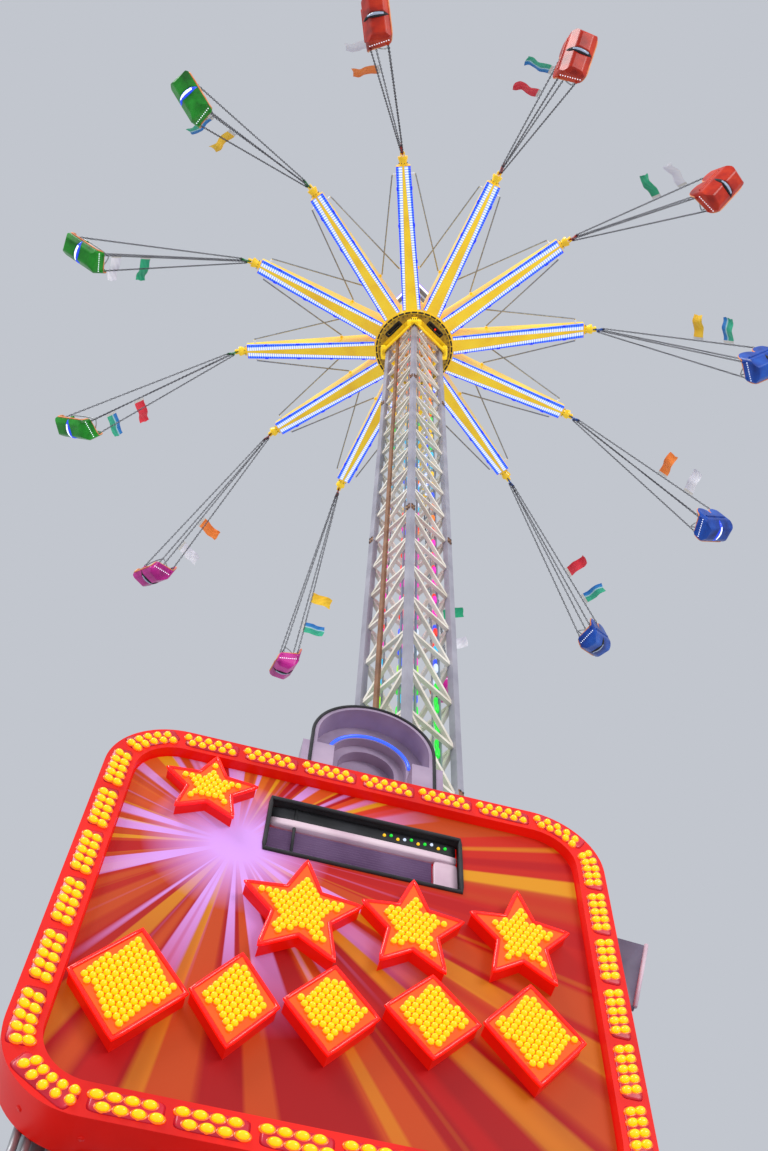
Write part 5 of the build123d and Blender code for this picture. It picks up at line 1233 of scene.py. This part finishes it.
# Satin enamel, brushed on the slats and sprayed on the sill, with a little glow from the lamps above.
slat_paint = surface("mauve_grey_slats", {0.3: "#7c6884", 0.5: "#8e7a96", 0.75: "#9e8aa6"},
                     25, 1.0, 0.03, Roughness=0.5, IOR=1.5, glow=("#a050a0", 0.06))
sill_paint = surface("pale_pink_sill_enamel", {0.3: "#c8a8b8", 0.5: "#dcc0cc", 0.75: "#e6d0d8"},
                     25, 1.0, 0.03, Roughness=0.4, IOR=1.5)


def saw_slats(x0, x1, y0, y1):
    """Saw-tooth surface: each slat stands out at its foot and slopes back over nine tenths of its pitch."""
    count = int((y1 - y0) / SLAT_PITCH)
    y = y0 + (np.arange(count)[:, None] + (0.0, 0.9)).ravel() / count * (y1 - y0)
    z = WINDOW_FLOOR + SLAT_LIFT + np.tile((SLAT_LEAN, 0.0), count)
    return patch(np.stack(np.broadcast_arrays(np.linspace(x0, x1, 12), y[:, None], z[:, None]), -1))


# %% Sill, strip and frame
FRAME_RADIUS, FRAME_RISE, WALL_TOP, WALL_INSET = 1.0, 0.6, 0.5, 0.004
DIVIDER_RADIUS, DIVIDER_INSET, DIVIDER_DEPTH = 0.7, 12, -2.6


def window_block(height, depth, x, y, z, width=right - left - 1):
    """A squarish block in the window, over its floor."""
    return set_at(rounded_block(width, height, depth, power=0.25), (x, y, WINDOW_FLOOR + z))


sill = window_block(SILL_HEIGHT, 4.2, window_middle[0], (sill_top + slat_top) / 2, 1.2)
side_panel = window_block(slat_top - foot, 3.0, right - PANEL_WIDTH / 2, (slat_top + foot) / 2, 1.0,
                          width=PANEL_WIDTH - 1)
strip = window_block(STRIP_HEIGHT - 1, 3.0, window_middle[0], head - STRIP_HEIGHT / 2, 0.8)
frame_line = along_edges([(left, foot), (right, foot), (right, head), (left, head)], 10)
wall_line = np.vstack([frame_line, frame_line[:1]])
wall_line = wall_line + WALL_INSET * (window_middle - wall_line)
walls = patch(np.stack([on_board(wall_line, WALL_TOP), on_board(wall_line, WINDOW_FLOOR + 0.1)]))
divider = tube([(left + DIVIDER_INSET, y, DIVIDER_DEPTH) for y in (foot + 1, head - 1)], DIVIDER_RADIUS)
frame_tube = tube(on_board(frame_line, FRAME_RISE), FRAME_RADIUS, closed=True)
window_frame = together(strip, frame_tube, walls, divider)
sign_piece("window_slats", saw_slats(left + 0.5, right - PANEL_WIDTH, foot + 0.4, slat_top), slat_paint,
           "sign_face", smooth=False)
sign_piece("window_sill", together(sill, side_panel), sill_paint, "sign_face")
sign_piece("window_frame", window_frame, black_rubber, "sign_face")

# %% Pilot lamps
PILOT_COLOURS = ("yellow", "green", "yellow", "white", "green", "yellow", "green", "white", "yellow", "green")
PILOT_INSET, PILOT_DROP, PILOT_DEPTH, PILOT_PITCH, PILOT_WAVER = 34, 4.6, -2.4, 3.1, 0.9
pilot = turned_shape([0.55, 0.8, 0.65, 0.35], [-0.3, 0, 0.5, 0.8], 8)
# The row wavers a little, as lamps fitted by hand do.
pilots_at = [(right - PILOT_INSET + PILOT_PITCH * n, head - PILOT_DROP + PILOT_WAVER * math.sin(2.1 * n),
              PILOT_DEPTH) for n in range(len(PILOT_COLOURS))]
sign_piece("pilot_lamps", set_at(pilot, pilots_at), tower_lenses,
           choice=np.repeat([lens_words.index(colour) for colour in PILOT_COLOURS], len(pilot[1])))

# %% [markdown]
# ## The niche above the board
# The half-round niche has a blue tube round its middle step and a black bead on the hood's front
# edge.

# %% Blue arc and bead
NICHE_CENTRE, HOOD_RADIUS, NICHE_FOOT = (8.5, 258.3), 31.6, 197.0
HOOD_DEPTH, RING_DEPTH, ARC_RADIUS, ARC_GAP = -14.0, -26.0, 21.5, 0.06
arc_angles, bead_angles = np.linspace(ARC_GAP, np.pi - ARC_GAP, 44), np.linspace(0, np.pi, 40)
arc_path = arc((*NICHE_CENTRE, RING_DEPTH + 0.5), ARC_RADIUS, arc_angles, up=(0, 1, 0))
bead_arc = arc((*NICHE_CENTRE, HOOD_DEPTH), HOOD_RADIUS, bead_angles, up=(0, 1, 0))
leg_foot = (NICHE_CENTRE[0] + HOOD_RADIUS, NICHE_FOOT + 12, HOOD_DEPTH)
right_leg = np.linspace(leg_foot, bead_arc[0], 8, endpoint=False)
left_leg = (right_leg * (-1, 1, 1) + (2 * NICHE_CENTRE[0], 0, 0))[::-1]
blue_arc_lens = lens("blue_acrylic_arc", "#2c50d8", "#4068ff", 0.9)
sign_piece("niche_blue_arc", tube(arc_path, 0.85, 10), blue_arc_lens)
sign_piece("niche_bead", tube(np.vstack([right_leg, bead_arc, left_leg]), 0.9), black_rubber)

# %% [markdown]
# ## What shows round the gate
# Under the board hang a floodlight and three pale cable tubes, and a lattice runs along the beam. At
# the right a mauve side plate stands out from behind the board.

# %% Floodlight, cable tubes and lattice
# Where the floodlight hangs, and its X and Y axes: it shines down and a little to the back.
FLOOD_AXES = ((-76.0, 4.0, -17.0), (1, 0, 0), (0, 0.35, -1))
CABLE_TUBES_AT = (-99.5, -95.5, -88.0)
flood_body = turned_shape([3.2, 6.4, 7.4, 7.8, 7.6], [9.0, 7.0, 2.0, -1.0, -2.2], 24)
flood_glass = turned_shape([6.8, 6.9, 5.6, 3.2], [-1.6, -2.4, -4.0, -4.8], 24)
flood_lens = lens("cool_flood_glass", "#a8c8ff", "#b8d4ff", 1.0)
sign_piece("floodlight_body", set_at(flood_body, *FLOOD_AXES), black_rubber)
sign_piece("floodlight_glass", set_at(flood_glass, *FLOOD_AXES), flood_lens)
cable_tube = tube([(0, -14.0, -12.5), (0.6, 0, -16), (0.4, 14, -16.5)], 1.5)
sign_piece("gate_cable_tubes", set_at(cable_tube, [(x, 0, 0) for x in CABLE_TUBES_AT]), galvanised)
LATTICE_HALF, LATTICE_STEPS, LATTICE_HIGH, LATTICE_LOW, LATTICE_Z = 88.0, 24, -15.5, -28.5, -3.2
RAIL_HALF, RAIL_HEIGHTS = 92.0, (-15.0, -29.0)
zig_x = np.linspace(-LATTICE_HALF, LATTICE_HALF, LATTICE_STEPS + 1)
zig_y = np.where(np.arange(LATTICE_STEPS + 1) % 2, LATTICE_LOW, LATTICE_HIGH)
zig = on_board(np.stack([zig_x, zig_y], -1), LATTICE_Z)
lattice_bars = [tube(np.linspace(a, b, 3), 0.9, 6) for a, b in zip(zig[:-1], zig[1:])]
rails = [tube(np.linspace((-RAIL_HALF, y, LATTICE_Z), (RAIL_HALF, y, LATTICE_Z), 3), 1.1, 6)
         for y in RAIL_HEIGHTS]
sign_piece("gate_beam_lattice", together(*lattice_bars, *rails), grey_enamel)

# %% Side plate
WING = ((112.0, 158.5), (137.5, 156.5), (125.5, 117.0), (112.0, 121.0))
WING_THICKNESS, WING_DEPTH = 3.0, -16.5
WING_EDGE = ((137.2, 156.2, -15.0), (131.5, 137, -15.0), (125.6, 117.6, -15.0))


def swept_plate(corners, thickness, depth):
    """Flat plate, its edge drawn out into a soft lip: four rings of points, the middle two the widest."""
    middle = np.mean(corners, axis=0)
    outline = along_edges(corners, 8) - middle
    rings = [on_board(middle + outline * share, depth + rise * thickness)
             for share, rise in ((0.96, -0.5), (1.0, -0.25), (1.0, 0.25), (0.96, 0.5))]
    first, last = ((*middle, depth + side * thickness / 2) for side in (-1, 1))
    return close_rings(np.vstack(rings), len(rings), len(outline), first, last)


# Air-drying enamel in a dark mauve, satin.
wing_paint = surface("dark_mauve_enamel", {0.3: "#4c4258", 0.5: "#5e5268", 0.75: "#6e6278"},
                     20, 2.0, 0.04, Roughness=0.45, IOR=1.5)
sign_piece("side_wing", swept_plate(WING, WING_THICKNESS, WING_DEPTH), wing_paint)
sign_piece("side_wing_edge", tube(WING_EDGE, 1.0), sill_paint)

# %% [markdown]
# ## Sides and back of the board
# Seen when one walks round it: the light box is closed by screws along its sides, and its rear panel
# by screws along the rim. A transformer box feeds the lamps through cables that climb over the
# middle rail.

# %% Screws along the sides
side_line, side_normals = rounded_outline(SIGN_WIDTH, SIGN_HEIGHT, SIGN_CORNER, 36)
side_screws = set_at(hexagon_head(2.0, 0.8), on_board(side_line, -5.0), (0, 0, 1),
                     on_board(-clockwise(side_normals), 0))
sign_piece("board_side_screws", side_screws, red_panel_paint)

# %% Transformer box, cables and rear screws
BOARD_BACK, BOX_X, BOX_Y, SCREW_INSET = -14.0, 34.0, 66.0, 5.5
BOX_SIZE, LID_SIZE = (52, 40, 14), (47, 35, 2.4)
BOX_Z, LID_Z, LID_FACE, GLAND_Z = (BOARD_BACK - depth for depth in (6.6, 13.8, 14.8, 6.0))
# Each cable's line up the back: how much it keeps of its place on the box, its shift, then Y and Z.
CABLE_STOPS = ((1, 0, 88, -20), (1, 0, 93, -25), (1, 0, 97, -26.4), (1, 0, 110, -26.4),
               (0.8, 0, 118, -22), (0.5, -8, 150, -16.2), (0.4, -14, 180, -15.8))
CABLES_AT = (-12, 0, 12)
transformer = set_at(rounded_block(*BOX_SIZE, power=0.2, sides=24, rings=6), (BOX_X, BOX_Y, BOX_Z))
lid = set_at(rounded_block(*LID_SIZE, power=0.2, sides=24), (BOX_X, BOX_Y, LID_Z))
lid_screws = set_at(hexagon_head(2.6, 1.2), [(BOX_X + x, BOX_Y + y, LID_FACE)
                                             for x in (-20, 20) for y in (-14, 14)], *TURNED_OVER)
glands = set_at(turned_shape([2.6, 2.9, 2.9, 2.2], [-1, 0, 3.6, 4.6], 12),
                [(BOX_X + x, BOX_Y + BOX_SIZE[1] / 2, GLAND_Z) for x in CABLES_AT], (0, 0, 1), (1, 0, 0))
cables = [tube([(BOX_X + x * share + shift, y, z) for share, shift, y, z in CABLE_STOPS], 1.3)
          for x in CABLES_AT]
back_line, _ = rounded_outline(SIGN_WIDTH - 2 * SCREW_INSET, SIGN_HEIGHT - 2 * SCREW_INSET,
                               SIGN_CORNER - SCREW_INSET, 40)
sign_piece("transformer_box", together(transformer, lid), grey_enamel)
sign_piece("transformer_screws", together(lid_screws, glands), oiled_steel)
sign_piece("transformer_cables", together(*cables), black_rubber)
sign_piece("board_back_screws",
           set_at(hexagon_head(3.0, 1.2), on_board(back_line, BOARD_BACK), *TURNED_OVER), galvanised)

# %% Post clamps
# A bent clamp round each post at every rail of the frame.
POST_DEPTH, POST_ACROSS, CLAMP_BEND, CLAMP_WRAP = -28.5, 92.0, 7.6, np.pi / 2 + 0.5
CLAMP_HEIGHTS = (15.0, 20.0, 103.0, 174.0, 179.0)
clamp_path = arc((0, 0, 0), CLAMP_BEND, np.linspace(-CLAMP_WRAP, CLAMP_WRAP, 16), (0, 0, -1), (1, 0, 0))
clamps_at = [(side * POST_ACROSS, y, POST_DEPTH) for side in (-1, 1) for y in CLAMP_HEIGHTS]
sign_piece("post_clamps", set_at(tube(clamp_path, 1.1), clamps_at), galvanised)

# %% [markdown]
# ## Stage, light and camera
# The floor and the sky are pale and even, and the light is soft, so that colours come out as they
# are written. The camera stands where the visitor stood, low in front of the sign and looking
# steeply up.

# %% Floor and world
FLOOR_RADIUS, FLOOR_SIDES = 80.0, 96
# Screeded concrete, matt and nearly even in tone.
floor_paint, tree, shader = new_material("pale_floor", Roughness=0.9)
tones(tree, cloud(tree, 900), {0.3: "#c7cad0", 0.7: "#cacdd2"}, shader)
floor_rim = arc((0, 0, 0), FLOOR_RADIUS, full_turn(FLOOR_SIDES), up=(0, 1, 0))
floor_mesh = bpy.data.meshes.new("floor")
floor_mesh.from_pydata(floor_rim.tolist(), [], [range(FLOOR_SIDES)])
floor_mesh.materials.append(floor_paint)
floor = bpy.data.objects.new("floor", floor_mesh)
bpy.context.scene.collection.objects.link(floor)
# The sky lights the ride with one colour and shows the camera, mirrors and glass a darker one.
world = bpy.data.worlds.new("soft_studio")
bpy.context.scene.world = world
world.use_nodes = True
tree = world.node_tree
tree.nodes.clear()
ray_kinds = put(tree, "LightPath").outputs
seen = ray_kinds["Is Camera Ray"]
for kind in ("Is Glossy Ray", "Is Transmission Ray"):
    seen = put(tree, "Math", {0: seen, 1: ray_kinds[kind]}, operation="MAXIMUM").outputs[0]
soft = put(tree, "Background", {"Color": linear("#f4f6fa"), "Strength": 0.85})
backdrop = put(tree, "Background", {"Color": linear("#c2c6ce"), "Strength": 1.0})
mixed = put(tree, "MixShader", {0: seen, 1: soft.outputs[0], 2: backdrop.outputs[0]})
put(tree, "OutputWorld", {"Surface": mixed.outputs[0]})

# %% Lamps and camera
LAMPS = (("key_light", (-3.5, -5.0, 6.5), 150, 3.0), ("fill_light", (4.4, -4.8, 2.3), 80, 2.4))
LAMPS_AIM, LAMP_SPREAD = (0, 0, 2.6), math.radians(115)
CAMERA_PLACE = (0.00875, -1.1229, 0.160)
CAMERA_RIGHT, CAMERA_UP = (0.99962, 0.0, 0.02743), (-0.01253, -0.88948, 0.45679)
for name, place, power, size in LAMPS:
    lamp = bpy.data.lights.new(name, "AREA")
    lamp.energy, lamp.size, lamp.spread = power, size, LAMP_SPREAD
    made = bpy.data.objects.new(name, lamp)
    bpy.context.scene.collection.objects.link(made)
    made.location = place
    aim_x, aim_y, aim_z = np.subtract(LAMPS_AIM, place)
    made.rotation_euler = (math.pi / 2 + math.atan2(aim_z, math.hypot(aim_x, aim_y)), 0,
                           math.atan2(aim_y, aim_x) - math.pi / 2)
camera = bpy.data.cameras.new("visitor")
camera.lens, camera.sensor_width, camera.sensor_fit = 38.45, 36.0, "AUTO"
camera.clip_start, camera.clip_end = 0.02, 100.0
eye_point = bpy.data.objects.new("visitor", camera)
bpy.context.scene.collection.objects.link(eye_point)
axes = np.eye(4)
axes[:3] = np.stack([CAMERA_RIGHT, CAMERA_UP, np.cross(CAMERA_RIGHT, CAMERA_UP), CAMERA_PLACE], -1)
eye_point.matrix_world = Matrix(axes.tolist())
bpy.context.scene.camera = eye_point
bpy.context.scene.view_settings.view_transform = "Standard"
